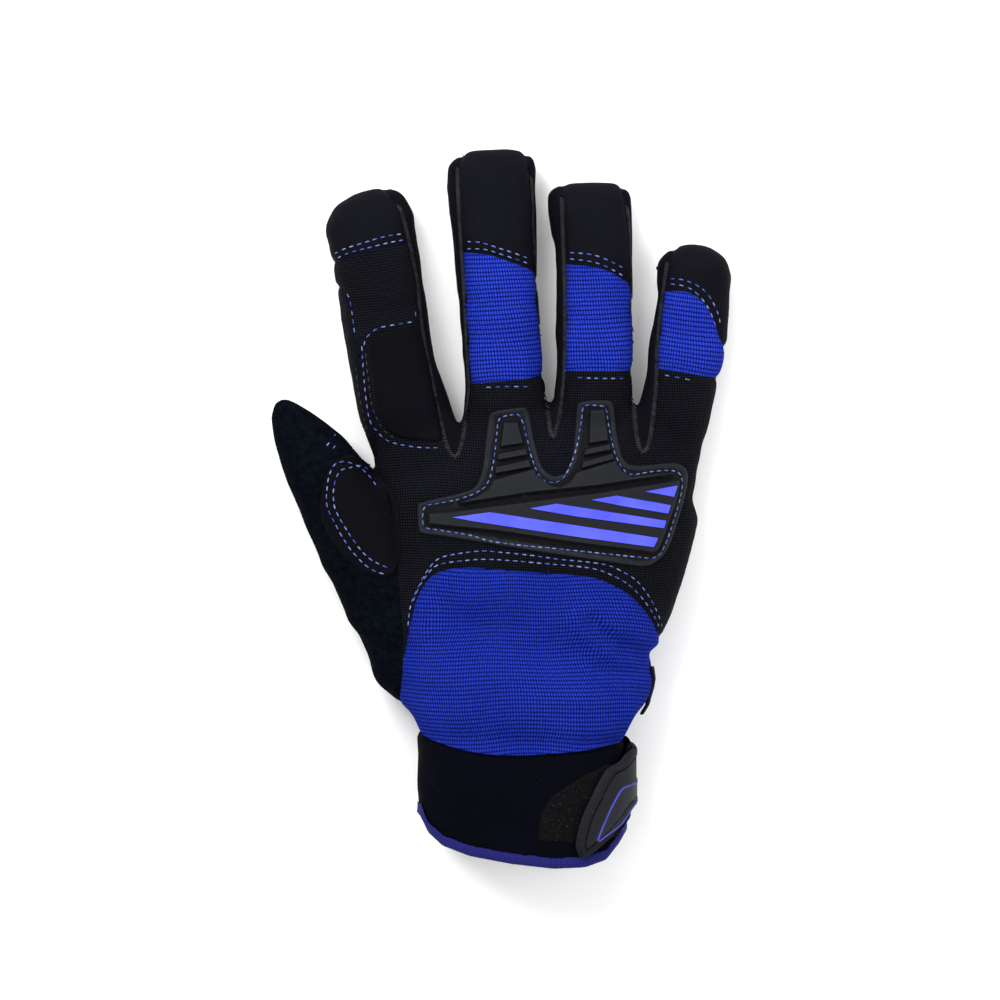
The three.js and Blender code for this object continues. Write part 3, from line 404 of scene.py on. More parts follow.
def distance_to(points, line, closed=False):
    """Distances from plan points to a line, and how far along it the nearest places are."""
    line = np.asarray(line, float)
    ends = np.roll(line, -1, axis=0) if closed else line[1:]
    starts = line if closed else line[:-1]
    best = np.full(len(points), 1e9)
    along = np.zeros(len(points))
    run = 0.0
    for a, b in zip(starts, ends):
        span = b - a
        length = math.hypot(*span)
        if length < 1e-9:
            continue
        t = np.clip(((points - a) @ span) / length ** 2, 0, 1)
        far = np.hypot(*(points - a - t[:, None] * span).T)
        nearer = far < best
        best[nearer] = far[nearer]
        along[nearer] = run + t[nearer] * length
        run += length
    return best, along


# Meshes and pieces

def opened(mesh):
    bm = bmesh.new()
    bm.from_mesh(mesh)
    return bm


def made_mesh(bm, name):
    """Turns a bmesh that is done with into a mesh."""
    mesh = bpy.data.meshes.new(name)
    bm.to_mesh(mesh)
    bm.free()
    return mesh


def plan_of(verts):
    """Plan places of vertices, in millimetres."""
    return np.array([(v.co.x, v.co.y) for v in verts]) / MM


def centres_of(faces):
    return np.array([tuple(f.calc_center_median()) for f in faces]) / MM


def write_uv(mesh, uv):
    """Gives a mesh the map called Cloth, from one place for each vertex."""
    corners = np.empty(len(mesh.loops), np.int32)
    mesh.loops.foreach_get("vertex_index", corners)
    layer = mesh.uv_layers.new(name="Cloth")
    layer.data.foreach_set("uv", uv[corners].astype(np.float32).ravel())


def coords(mesh):
    flat = np.empty(len(mesh.vertices) * 3, np.float32)
    mesh.vertices.foreach_get("co", flat)
    return flat.reshape(-1, 3).astype(float)


def add_object(name, mesh):
    piece = bpy.data.objects.new(name, mesh)
    bpy.context.scene.collection.objects.link(piece)
    return piece


def applied(piece):
    """Gives a piece the mesh that its modifiers make."""
    bpy.context.view_layer.update()
    made = bpy.data.meshes.new_from_object(piece.evaluated_get(bpy.context.evaluated_depsgraph_get()))
    piece.modifiers.clear()
    old = piece.data
    piece.data = made
    made.name = piece.name
    bpy.data.meshes.remove(old)
    return piece


def walled(piece, thickness):
    """Thickens a piece inwards."""
    wall = piece.modifiers.new("wall", "SOLIDIFY")
    wall.thickness = thickness
    wall.offset = -1
    return applied(piece)


def finish_piece(piece, material, nodes=(), crease=48):
    mesh = piece.data
    mesh.polygons.foreach_set("use_smooth", [True] * len(mesh.polygons))
    mesh.set_sharp_from_angle(angle=math.radians(crease))
    mesh.materials.clear()
    mesh.materials.append(material)
    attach(piece, "root")
    if nodes:
        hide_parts(*nodes)


def remeshed(mesh, cell):
    piece = add_object("form", mesh)
    cells = piece.modifiers.new("cells", "REMESH")
    cells.mode = "VOXEL"
    cells.voxel_size = cell
    made = applied(piece).data
    bpy.data.objects.remove(piece)
    return made


def hull_mesh(places, name):
    """The hull round some places, as a closed mesh."""
    bm = bmesh.new()
    for place in places:
        bm.verts.new(place)
    hull = bmesh.ops.convex_hull(bm, input=bm.verts[:])
    inner = [g for g in hull["geom_interior"] if isinstance(g, bmesh.types.BMVert)]
    bmesh.ops.delete(bm, geom=inner, context="VERTS")
    return made_mesh(bm, name)


def cuff_form(cell):
    """The cuff's outer surface as a closed tube that goes on a little past both of its ends."""
    hem = [v.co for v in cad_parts["cuff"].data.vertices if v.co.y < HEM_TOP * MM]
    places = [co + Vector((0, shift * MM, 0)) for co in hem for shift in CUFF_REACH]
    form = opened(remeshed(hull_mesh(places, "cuff form"), cell))
    smooth(form, CUFF_SMOOTHING)
    swell(form, 0.25 * MM)
    return form


def smooth(bm, times, factor=0.5):
    for _ in range(times):
        bmesh.ops.smooth_vert(bm, verts=bm.verts, factor=factor, use_axis_x=True, use_axis_y=True, use_axis_z=True)


def swell(bm, amount):
    bm.normal_update()
    for vert, shift in [(v, v.normal * amount) for v in bm.verts]:
        vert.co += shift


def outer_island(bm):
    """Deletes all but the part of a mesh that reaches furthest."""
    left = set(bm.verts)
    islands = []
    while left:
        seed = left.pop()
        island, edge = [seed], [seed]
        while edge:
            vert = edge.pop()
            for link in vert.link_edges:
                other = link.other_vert(vert)
                if other in left:
                    left.remove(other)
                    island.append(other)
                    edge.append(other)
        islands.append(island)
    islands.sort(key=lambda verts: max(v.co.y for v in verts) - min(v.co.y for v in verts))
    spare = [v for island in islands[:-1] for v in island]
    bmesh.ops.delete(bm, geom=spare, context="VERTS")


def filled_form(cell):
    """The glove's outer surface in one closed mesh, with the seams closed and the mouth stopped."""
    bm = bmesh.new()
    for node in PANELS:
        bm.from_mesh(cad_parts[node].data)
    bmesh.ops.remove_doubles(bm, verts=bm.verts, dist=1e-6)
    swell(bm, 0.3 * MM)
    stop = hull_mesh([v.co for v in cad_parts["cuff"].data.vertices], "stopper")
    bm.from_mesh(stop)
    bpy.data.meshes.remove(stop)
    mesh = remeshed(made_mesh(bm, "form"), cell)
    knife = bmesh.new()
    for points in SLITS:
        ring = offset_ring(points, SLIT_MARGIN)[:-1]
        face = knife.faces.new([knife.verts.new((x * MM, y * MM, -0.01)) for x, y in ring])
        made = bmesh.ops.extrude_face_region(knife, geom=[face])
        tops = [g for g in made["geom"] if isinstance(g, bmesh.types.BMVert)]
        bmesh.ops.translate(knife, verts=tops, vec=(0, 0, 0.07))
    bmesh.ops.recalc_face_normals(knife, faces=knife.faces)
    cutter, uncut = add_object("slits", made_mesh(knife, "slits")), add_object("uncut", mesh)
    slit = uncut.modifiers.new("slits", "BOOLEAN")
    slit.operation, slit.solver, slit.object = "DIFFERENCE", "MANIFOLD", cutter
    mesh = applied(uncut).data
    for piece in (cutter, uncut):
        bpy.data.objects.remove(piece)
    form = opened(remeshed(mesh, cell))
    outer_island(form)
    push(form)
    return form


def push(bm):
    """Moves the form's outline out where it falls short of the real one."""
    verts = bm.verts[:]
    plan = plan_of(verts)
    shift = np.zeros_like(plan)
    for place, (dx, dy), reach in PUSHES:
        weight = np.exp(-np.sum((plan - place) ** 2, axis=1) / reach ** 2)
        shift += weight[:, None] * np.array((dx, dy))
    for vert, (dx, dy) in zip(verts, shift):
        vert.co.x += dx * MM
        vert.co.y += dy * MM


def score(bm, line, reach=2.4, low=-FAR, high=FAR):
    """Cuts the faces under a plan line, so that edges lie on it. The line is in millimetres."""
    line = np.asarray(line, float)
    faces = bm.faces[:]
    centres = centres_of(faces)
    far, _ = distance_to(centres[:, :2], line)
    pick = (far < reach) & (centres[:, 2] > low) & (centres[:, 2] < high)
    cell = 4.0
    cells = {}
    for k in np.flatnonzero(pick):
        cells.setdefault((int(centres[k, 0] // cell), int(centres[k, 1] // cell)), set()).add(faces[k])
    for a, b in zip(line[:-1], line[1:]):
        span = b - a
        length = math.hypot(*span)
        forward = Vector((span[0] / length, span[1] / length, 0))
        across = Vector((-forward.y, forward.x, 0))
        start = Vector((a[0], a[1], 0)) * MM
        places = set()
        for t in np.linspace(0, 1, 2 + int(length / cell)):
            i, j = int((a[0] + span[0] * t) // cell), int((a[1] + span[1] * t) // cell)
            places.update((i + di, j + dj) for di in (-1, 0, 1) for dj in (-1, 0, 1))
        cut = {}
        for place in places:
            for face in cells.get(place, ()):
                if not face.is_valid:
                    continue
                sides = [(v.co - start).dot(across) for v in face.verts]
                if min(sides) > -1e-7 or max(sides) < 1e-7 or max(map(abs, sides)) > 3 * MM:
                    continue
                runs = [(v.co - start).dot(forward) for v in face.verts]
                if max(runs) > 0 and min(runs) < length * MM:
                    cut[face] = place
        if not cut:
            continue
        parts = set(cut)
        for face in cut:
            parts.update(face.edges)
            parts.update(face.verts)
        made = bmesh.ops.bisect_plane(bm, geom=list(parts), dist=1e-7, plane_co=start, plane_no=across)
        for part in made["geom"]:
            if isinstance(part, bmesh.types.BMFace):
                spot = part.calc_center_median() / MM
                cells.setdefault((int(spot.x // cell), int(spot.y // cell)), set()).add(part)


def closed_off(line, *corners):
    return np.vstack([line, np.array(corners, float)])


def below(line):
    """The part of the plan on the hem's side of a line that runs across."""
    return closed_off(line, (FAR, -FAR), (-FAR, -FAR))


def offset_line(line, distance):
    """A plan line moved sideways, to its left when the distance is positive."""
    ahead = np.gradient(line, axis=0)
    ahead /= np.linalg.norm(ahead, axis=1)[:, None]
    return line + distance * np.stack([-ahead[:, 1], ahead[:, 0]], axis=1)


def offset_ring(polygon, distance):
    """A closed line that runs outside a polygon."""
    p = np.asarray(polygon, float)
    area = np.sum(p[:, 0] * np.roll(p[:, 1], -1) - p[:, 1] * np.roll(p[:, 0], -1))
    side = -distance if area > 0 else distance
    before, after = p - np.roll(p, 1, axis=0), np.roll(p, -1, axis=0) - p
    turn = []
    for span in (before, after):
        span = span / np.linalg.norm(span, axis=1)[:, None]
        turn.append(np.stack([-span[:, 1], span[:, 0]], axis=1))
    middle = turn[0] + turn[1]
    middle /= np.maximum(np.sum(middle * turn[0], axis=1), 0.6)[:, None]
    ring = p + side * middle
    return np.vstack([ring, ring[:1]])


def panel_regions():
    """Plan polygons of the panels on the back of the hand, the first that holds a place naming its panel."""
    lines = seam_lines()
    regions = [("cuff", below(lines["wrist"]))]
    for name in GUSSET_SEAMS:
        regions.append((name, lines[name]))
    regions.append(("thumb_fleece", closed_off(lines["thumb"], (-FAR, -FAR), (-FAR, 60))))
    for seams, seam, panel in ((TIP_SEAMS, "_tip", "_tip"), (KNUCKLE_SEAMS, "_knuckle", "_knit")):
        for finger in seams:
            line = lines[finger + seam]
            regions.append((finger + panel, closed_off(line, (line[-1][0], FAR), (line[0][0], FAR))))
    regions.append(("index_side_strip", closed_off(lines["index_side"], (-FAR, 0), (-FAR, 94))))
    regions.append(("wrist_knit", closed_off(lines["knit"], (FAR, -60), (FAR, -FAR), (-FAR, -FAR))))
    return regions


def seam_lines():
    rows = {"wrist": WRIST_SEAM, "thumb": THUMB_SEAM, "knit": KNIT_SEAM, "palm_thumb": PALM_THUMB_SEAM,
            "index_side": INDEX_SIDE_SEAM}
    rows.update({finger + "_tip": row for finger, row in TIP_SEAMS.items()})
    rows.update({finger + "_knuckle": row for finger, row in KNUCKLE_SEAMS.items()})
    rows.update(GUSSET_SEAMS)
    return {name: through(row, PALM_SEAM_STEP if name == "palm_thumb" else SEAM_STEP) for name, row in rows.items()}


def face_panels(bm, names):
    """The number of each face's panel."""
    centres = centres_of(bm.faces)
    plan, height = centres[:, :2], centres[:, 2]
    lines = seam_lines()
    found = np.full(len(centres), names.index("back_knit"))
    free = height > SIDE_SEAM
    for name, polygon in panel_regions():
        here = free & inside(plan, polygon)
        found[here] = names.index(name)
        free &= ~here
    under = height <= SIDE_SEAM
    found[under] = names.index("palm_leather")
    thumb = closed_off(lines["palm_thumb"], (-FAR, -FAR), (-FAR, 60))
    found[under & inside(plan, thumb)] = names.index("thumb_leather")
    found[inside(plan, below(lines["wrist"]))] = names.index("cuff")
    return found


def keep_side(bm, polygon, kept):
    """Deletes the faces inside a plan polygon, or outside it."""
    faces = bm.faces[:]
    centres = centres_of(faces)
    within = inside(centres[:, :2], polygon)
    bmesh.ops.delete(bm, geom=[f for f, w in zip(faces, within) if bool(w) != kept], context="FACES")


def sink(bm, wrist):
    """Thins the part of the cuff that runs up under the hand's panels."""
    bm.normal_update()
    verts = bm.verts[:]
    plan = plan_of(verts)
    far, _ = distance_to(plan, wrist)
    far[inside(plan, below(wrist))] *= -1
    shifts = [v.normal * (-1.3 * MM * k) for v, k in zip(verts, np.clip((far + 1.5) / 2.0, 0, 1))]
    for vert, shift in zip(verts, shifts):
        vert.co += shift


def tuck_in(bm, wrist):
    """Rolls the lower edge of the hand's panels down onto the cuff."""
    verts = bm.verts[:]
    plan = plan_of(verts)
    near = np.flatnonzero(plan[:, 1] < -30)
    far, _ = distance_to(plan[near], wrist)
    for k, away in zip(near, far):
        if away < TUCK_REACH:
            vert = verts[k]
            spot, normal, _, _ = cuff_shape[0].find_nearest(vert.co)
            spot = spot + normal * TUCK_LIFT * MM
            t = away / TUCK_REACH
            vert.co = spot.lerp(vert.co, math.sqrt(1 - (1 - t) ** 2) if (vert.co - spot).dot(normal) > 0 else t)


def shape_skin(bm):
    """Rolls the panels in at their seams, and folds and ripples them."""
    s = settings()
    bm.normal_update()
    seam = [v for v in bm.verts if len({f.material_index for f in v.link_faces}) > 1 or v.is_boundary]
    tree = KDTree(len(seam))
    for place, vert in enumerate(seam):
        tree.insert(vert.co, place)
    tree.balance()
    verts = bm.verts[:]
    far = np.array([tree.find(v.co)[2] for v in verts])
    co = np.array([tuple(v.co) for v in verts])
    plan = co[:, :2] / MM
    rise = 0.35 * MM * (1 - np.exp(-(far / (5 * MM)) ** 2)) - s.seam_depth * np.exp(-(far / s.seam_width) ** 2)
    upward = np.clip((co[:, 2] / MM - 9) / 4, 0, 1)
    for line, depth, width in FOLDS:
        away, _ = distance_to(plan, through(line, 1.5))
        rise -= upward * depth * MM * (np.exp(-(away / width) ** 2)
                                       - 0.35 * np.exp(-((away - 1.9 * width) / width) ** 2))
    ripple = np.array([noise.noise(Vector(c) * 85) + 0.5 * noise.noise(Vector(c) * 190) for c in co])
    rise += 0.32 * MM * ripple * np.clip(co[:, 2] / (5 * MM), 0.15, 1)
    shifts = [v.normal * r for v, r in zip(verts, rise)]
    for vert, shift in zip(verts, shifts):
        vert.co += shift
        vert.co.z = max(vert.co.z, GROUND_GAP * MM)


def turned(co, root, turn):
    """Plan places as seen from a root, turned by an angle."""
    dx, dy = co[:, 0] - root[0], co[:, 1] - root[1]
    return dx * np.cos(turn) - dy * np.sin(turn), dx * np.sin(turn) + dy * np.cos(turn)


def lay_cloth(mesh, axis):
    """A UV map in millimetres, round the piece and along it. The hand's turns to follow the index finger."""
    co = coords(mesh) / MM
    if axis == "hand":
        root, lean, _, _ = AXES["index"]
        share = np.clip((co[:, 1] - 20) / 35, 0, 1) * np.clip((-24 - co[:, 0]) / 16, 0, 1)
        side, forward = turned(co, root, np.radians(lean) * share)
        write_cloth(mesh, side + root[0], forward + root[1])
        return
    root, lean, half_width, half_height = AXES[axis]
    side, forward = turned(co, root, math.radians(lean))
    angle = np.arctan2(side / half_width, (co[:, 2] - half_height * 0.9) / half_height)
    steps = np.linspace(0, math.pi, 181)
    arc = np.hypot(half_width * np.cos(steps), half_height * np.sin(steps))
    lengths = np.r_[0, np.cumsum((arc[1:] + arc[:-1]) / 2 * np.diff(steps))]
    write_cloth(mesh, np.sign(angle) * np.interp(np.abs(angle), steps, lengths), forward)


def write_cloth(mesh, u, forward):
    """Writes the cloth's own map, which wanders a little as knit does."""
    sway = np.array([noise.noise(Vector((x * 0.045, y * 0.045, 0.3))) for x, y in zip(u, forward)])
    drift = np.array([noise.noise(Vector((x * 0.05, y * 0.05, 7.1))) for x, y in zip(u, forward)])
    write_uv(mesh, np.stack([u + 0.9 * drift, forward + 1.3 * sway], axis=1))


# Surfaces that the other pieces lie on

surfaces = []
cuff_shape = []


def surface_of(mesh):
    return BVHTree.FromPolygons([v.co.copy() for v in mesh.vertices], [tuple(p.vertices) for p in mesh.polygons])


def remember_surface(piece):
    surfaces.append(surface_of(piece.data))


def on_top(x, y):
    """The highest place over a plan point in millimetres, and the way that it faces."""
    best = None
    for tree in surfaces:
        place, normal, _, _ = tree.ray_cast(Vector((x * MM, y * MM, 0.1)), Vector((0, 0, -1)))
        if place and (best is None or place.z > best[0].z):
            best = (place, normal)
    if best is None:
        place, normal, _, _ = surfaces[0].find_nearest(Vector((x * MM, y * MM, 0.015)))
        best = (place, normal)
    place, normal = best
    return place, normal if normal.z > 0 else -normal


def smooth_normal(x, y, around=1.2):
    total = Vector()
    for dx, dy in ((0, 0), (around, 0), (-around, 0), (0, around), (0, -around)):
        total += on_top(x + dx, y + dy)[1]
    return total.normalized()


def relief(name, outline, cell, height, place, insets, wall, marks=(), painted_shade=None):
    """A moulded or cut piece: a flat outline sliced into cells, raised by height(plan points) and laid on place, with
    painted shade in a Tone attribute when a shade function is given.
    """
    bm = bmesh.new()
    face = bm.faces.new([bm.verts.new((x * MM, y * MM, 0)) for x, y in outline])
    bm.normal_update()
    if face.normal.z < 0:
        face.normal_flip()
    inner = [face]
    for inset in insets:
        bmesh.ops.inset_region(bm, faces=inner, thickness=inset * MM, use_even_offset=True, use_boundary=True)
    spread = np.array(outline)
    for axis in (0, 1):
        normal = Vector((1, 0, 0)) if axis == 0 else Vector((0, 1, 0))
        for mark in np.arange(spread[:, axis].min() + cell / 2, spread[:, axis].max(), cell):
            geom = bm.verts[:] + bm.edges[:] + bm.faces[:]
            bmesh.ops.bisect_plane(bm, geom=geom, dist=1e-8, plane_co=normal * float(mark) * MM, plane_no=normal)
    for line in marks:
        score(bm, line, 1.5)
    flat = np.array([(v.co.x, v.co.y) for v in bm.verts]) / MM
    rises = height(flat)
    for vert, (x, y), rise in zip(bm.verts, flat, rises):
        spot, normal = place(x, y)
        vert.co = spot + normal * float(rise) * MM
    mesh = made_mesh(bm, name)
    # Painted shade: the last argument gives each point a value, dark in grooves and channels and light on raised
    # faces, kept in the Tone attribute for the material to colour by.
    if painted_shade:
        layer = mesh.attributes.new("Tone", "FLOAT", "POINT")
        layer.data.foreach_set("value", painted_shade(flat, rises).astype(np.float32))
    return walled(add_object(name, mesh), wall * MM)


def lie_on_skin(x, y):
    return on_top(x, y)[0], smooth_normal(x, y)


# Round the cuff: x beyond the side is measured down round it

def cuff_centre(y):
    """A place on the cuff's axis."""
    (x, _), _, _, half_height = AXES["cuff"]
    return Vector((x, y, 5 + half_height)) * MM


wrap_rows = {}


def wrap_table(y, lift):
    """Plan distances round the cuff against angles from its top, for pieces of one height."""
    key = (round(y, 0), lift)
    if key not in wrap_rows:
        centre = cuff_centre(key[0])
        angles = np.linspace(0, math.radians(150), 121)
        hits = []
        for angle in angles:
            out = Vector((math.sin(angle), 0, math.cos(angle)))
            hit = cuff_shape[0].ray_cast(centre + out * 0.09, -out)[0]
            hits.append((hit or centre + out * 0.03) + out * lift * MM)
        xs = np.array([h.x for h in hits]) / MM
        zs = np.array([h.z for h in hits]) / MM
        arc = np.r_[0, np.cumsum(np.hypot(np.diff(xs), np.diff(zs)))]
        top = int(np.argmax(xs))
        flat = np.where(np.arange(len(xs)) <= top, xs, xs[top] + arc - arc[top])
        wrap_rows[key] = (np.maximum.accumulate(flat), angles)
    return wrap_rows[key]


def wrap_at(lift):
    """Places on the cuff for a flat x, which goes on down round the side past the outline of a piece that thick."""
    def place(x, y):
        centre = cuff_centre(y)
        angle = float(np.interp(x, *wrap_table(y, lift)))
        out = Vector((math.sin(angle), 0, math.cos(angle)))
        hit, normal, _, _ = cuff_shape[0].ray_cast(centre + out * 0.09, -out)
        if hit is None:
            hit, normal, _, _ = cuff_shape[0].find_nearest(centre + out * 0.03)
        return hit, (out * 0.85 + normal * 0.15).normalized()
    return place


# Threads

def bead(length, width, height):
    bm = bmesh.new()
    bmesh.ops.create_uvsphere(bm, u_segments=6, v_segments=5, radius=0.5)
    bmesh.ops.rotate(bm, verts=bm.verts, matrix=Matrix.Rotation(math.pi / 2, 3, "Y"))
    bmesh.ops.scale(bm, verts=bm.verts, vec=(length, width, height))
    return made_mesh(bm, "bead")


def sew(name, rows, material, length, gap, width, lift, skew=0.0, steep=-1.0):
    """Stitches along plan lines, laid on what is under them."""
    stitch = bead(length, width, width * STITCH_HEIGHT)
    made = bmesh.new()
    for row in rows:
        line = np.asarray(row)
        steps = np.r_[0, np.cumsum(np.linalg.norm(np.diff(line, axis=0), axis=1))]
        count = max(1, int(steps[-1] * MM / (length + gap)))
        for k in range(count):
            middle = (k + 0.5) * steps[-1] / count
            ends = [np.array([np.interp(middle + d, steps, line[:, j]) for j in (0, 1)]) for d in (-0.5, 0, 0.5)]
            a, (spot, normal), b = lie_on_skin(*ends[0])[0], lie_on_skin(*ends[1]), lie_on_skin(*ends[2])[0]
            along = (b - a) - normal * (b - a).dot(normal)
            if along.length < 1e-7 or normal.z < steep or (b - a).length > 2.2 * MM:
                continue
            along.normalize()
            along.rotate(Matrix.Rotation(skew, 3, normal))
            aside = normal.cross(along)
            basis = Matrix((along, aside, normal)).transposed().to_4x4()
            turned = Matrix.Translation(spot + normal * lift) @ basis
            stitch.transform(turned)
            made.from_mesh(stitch)
            stitch.transform(turned.inverted())
    bpy.data.meshes.remove(stitch)
    finish_piece(add_object(name, made_mesh(made, name)), material, crease=180)


# Materials

class Net:
    """Adds and joins shader nodes in one tree."""

    def __init__(self, tree):
        self.tree = tree

    def add(self, kind, **values):
        node = self.tree.nodes.new(kind)
        for name, value in values.items():
            setattr(node, name, value)
        return node

    def feed(self, socket, value):
        if isinstance(value, bpy.types.NodeSocket):
            self.tree.links.new(value, socket)
        else:
            socket.default_value = value

    def math(self, operation, *values):
        node = self.add("ShaderNodeMath", operation=operation)
        for socket, value in zip(node.inputs, values):
            self.feed(socket, value)
        return node.outputs[0]

    def noise(self, vector, scale, detail=2.0, rough=0.5):
        node = self.add("ShaderNodeTexNoise")
        for name, value in (("Vector", vector), ("Scale", scale), ("Detail", detail), ("Roughness", rough)):
            self.feed(node.inputs[name], value)
        return node.outputs["Fac"]

    def blend(self, factor, a, b):
        node = self.add("ShaderNodeMix", data_type="RGBA")
        self.feed(node.inputs[0], factor)
        self.feed(node.inputs[6], a)
        self.feed(node.inputs[7], b)
        return node.outputs[2]

    def level(self, value, low, high, to_low=0.0, to_high=1.0):
        node = self.add("ShaderNodeMapRange")
        for socket, v in zip(node.inputs, (value, low, high, to_low, to_high)):
            self.feed(socket, v)
        return node.outputs[0]

    def wave(self, value, turn):
        return self.math("ABSOLUTE", self.math("SINE", self.math("MULTIPLY", value, turn)))

    def where(self):
        return self.add("ShaderNodeTexCoord").outputs["Object"]

    def group(self, name, **values):
        node = self.add("ShaderNodeGroup", node_tree=bpy.data.node_groups[name])
        for label, value in values.items():
            self.feed(node.inputs[label.replace("_", " ")], value)
        return node.outputs

    def dress(self, surface, base, height, distance):
        """Gives a surface its colour, and the fine relief of a height field that is so many millimetres deep."""
        self.feed(surface.inputs["Base Color"], base)
        bump = self.add("ShaderNodeBump")
        bump.inputs["Distance"].default_value = distance * MM
        bump.inputs["Strength"].default_value = 1.0
        self.feed(bump.inputs["Height"], height)
        self.feed(surface.inputs["Normal"], bump.outputs[0])


def node_group(name, inputs, outputs):
    tree = bpy.data.node_groups.new(name, "ShaderNodeTree")
    for label, kind, value in inputs:
        socket = tree.interface.new_socket(label, in_out="INPUT", socket_type=kind)
        if value is not None:
            socket.default_value = value
    for label, kind in outputs:
        tree.interface.new_socket(label, in_out="OUTPUT", socket_type=kind)
    net = Net(tree)
    return net, net.add("NodeGroupInput").outputs, net.add("NodeGroupOutput").inputs


def knit_group():
    net, given, out = node_group(
        "Knit loops",
        [("Cloth", "NodeSocketVector", None), ("Row Spacing", "NodeSocketFloat", 1.5),
         ("Loop Spacing", "NodeSocketFloat", 0.83)],
        [("Height", "NodeSocketFloat"), ("Painted loop shade", "NodeSocketFloat")])
    apart = net.add("ShaderNodeSeparateXYZ")
    net.feed(apart.inputs[0], given["Cloth"])
    wander = net.noise(given["Cloth"], 0.9, 1.0)
    row = net.math("DIVIDE", apart.outputs[1], given["Row Spacing"])
    row = net.math("MULTIPLY_ADD", wander, 0.16, row)
    loop = net.math("DIVIDE", apart.outputs[0], given["Loop Spacing"])
    rib = net.math("POWER", net.wave(row, math.pi), 0.7)
    stagger = net.math("MULTIPLY_ADD", net.math("FLOOR", row), 0.12, loop)
    bead_wave = net.math("POWER", net.wave(stagger, math.pi), 1.3)
    height = net.math("MULTIPLY", rib, net.math("MULTIPLY_ADD", bead_wave, 0.8, 0.2))
    fuzz = net.noise(given["Cloth"], 5.5, 2.0)
    net.feed(out["Height"], net.math("MULTIPLY_ADD", fuzz, 0.25, height))
    # Shade output: painted shade in the gaps between loops and painted highlight on their tops, from the loop height,
    # times random blotches.
    blot = net.level(net.noise(given["Cloth"], 1.1, 2.0), 0.3, 0.7, 0.75, 1.2)
    net.feed(out["Painted loop shade"], net.math("MULTIPLY", net.level(height, 0.1, 0.9), blot))


def grain_group():
    net, given, out = node_group(
        "Fine grain",
        [("Position", "NodeSocketVector", None), ("Scale", "NodeSocketFloat", 900.0)],
        [("Height", "NodeSocketFloat"), ("Tone", "NodeSocketFloat")])
    cells = net.add("ShaderNodeTexVoronoi", feature="SMOOTH_F1")
    net.feed(cells.inputs["Vector"], given["Position"])
    net.feed(cells.inputs["Scale"], given["Scale"])
    fine = net.noise(given["Position"], net.math("MULTIPLY", given["Scale"], 2.2), 3.0)
    net.feed(out["Height"], net.math("MULTIPLY_ADD", fine, 0.6, cells.outputs["Distance"]))
    net.feed(out["Tone"], net.level(net.noise(given["Position"], 70.0, 3.0), 0.35, 0.65))


def lint_and_edge_group():
    net, given, out = node_group(
        "Lint and sharp edges",
        [("Position", "NodeSocketVector", None), ("Amount", "NodeSocketFloat", 0.5)],
        [("Lint", "NodeSocketFloat"), ("Sharp edge", "NodeSocketFloat")])
    specks = net.level(net.noise(given["Position"], 1500.0, 1.0), 0.70, 0.80)
    patches = net.level(net.noise(given["Position"], 55.0, 4.0, 0.6), 0.42, 0.72)
    # Sharp edge: the sharpest convex edges, found from the surface's pointiness.
    edge = net.level(net.add("ShaderNodeNewGeometry").outputs["Pointiness"], 0.505, 0.56)
    net.feed(out["Lint"], net.math("MULTIPLY", net.math("MULTIPLY", specks, patches), given["Amount"]))
    net.feed(out["Sharp edge"], net.math("MULTIPLY", edge, given["Amount"]))


def new_material(name, rough, **shader):
    material = bpy.data.materials.new(name)
    material.use_nodes = True
    net = Net(material.node_tree)
    surface = material.node_tree.nodes["Principled BSDF"]
    surface.inputs["Roughness"].default_value = rough
    for label, value in shader.items():
        surface.inputs[label.replace("_", " ")].default_value = value
    return material, net, surface


def solid(color):
    return (*color, 1)


def shade(color, factor):
    return solid([min(1.0, c * factor) for c in color])


def knit_material(name, low, high, rows, loops, distance, spec=0.015):
    material, net, surface = new_material(name, 0.85, Specular_IOR_Level=spec)
    cloth = net.add("ShaderNodeUVMap", uv_map="Cloth").outputs[0]
    where = net.where()
    knit = net.group("Knit loops", Cloth=cloth, Row_Spacing=rows, Loop_Spacing=loops)
    lint_and_edges = net.group("Lint and sharp edges", Position=where, Amount=0.15)
    patchy = net.level(net.noise(where, 40.0, 3.0), 0.3, 0.7, 0.82, 1.12)
    # Painted shade and highlight: low is the colour in the gaps between loops, high the colour on their lit tops.
    base = net.blend(net.math("MULTIPLY", knit["Painted loop shade"], patchy), solid(low), solid(high))
    base = net.blend(lint_and_edges["Lint"], base, shade(high, 2.5))
    net.dress(surface, base, knit["Height"], distance)
    return material


def grain_material(name, color, rough, scale, distance, lint, spec):
    material, net, surface = new_material(name, rough, Specular_IOR_Level=spec)
    where = net.where()
    grain = net.group("Fine grain", Position=where, Scale=scale)
    lint_and_edges = net.group("Lint and sharp edges", Position=where, Amount=lint)
    base = net.blend(grain["Tone"], shade(color, 0.85), shade(color, 1.25))
    base = net.blend(lint_and_edges["Lint"], base, (0.05, 0.05, 0.06, 1))
    net.feed(surface.inputs["Roughness"], net.level(grain["Tone"], 0.0, 1.0, rough - 0.05, min(rough + 0.07, 1.0)))
    net.dress(surface, base, grain["Height"], distance)
    return material


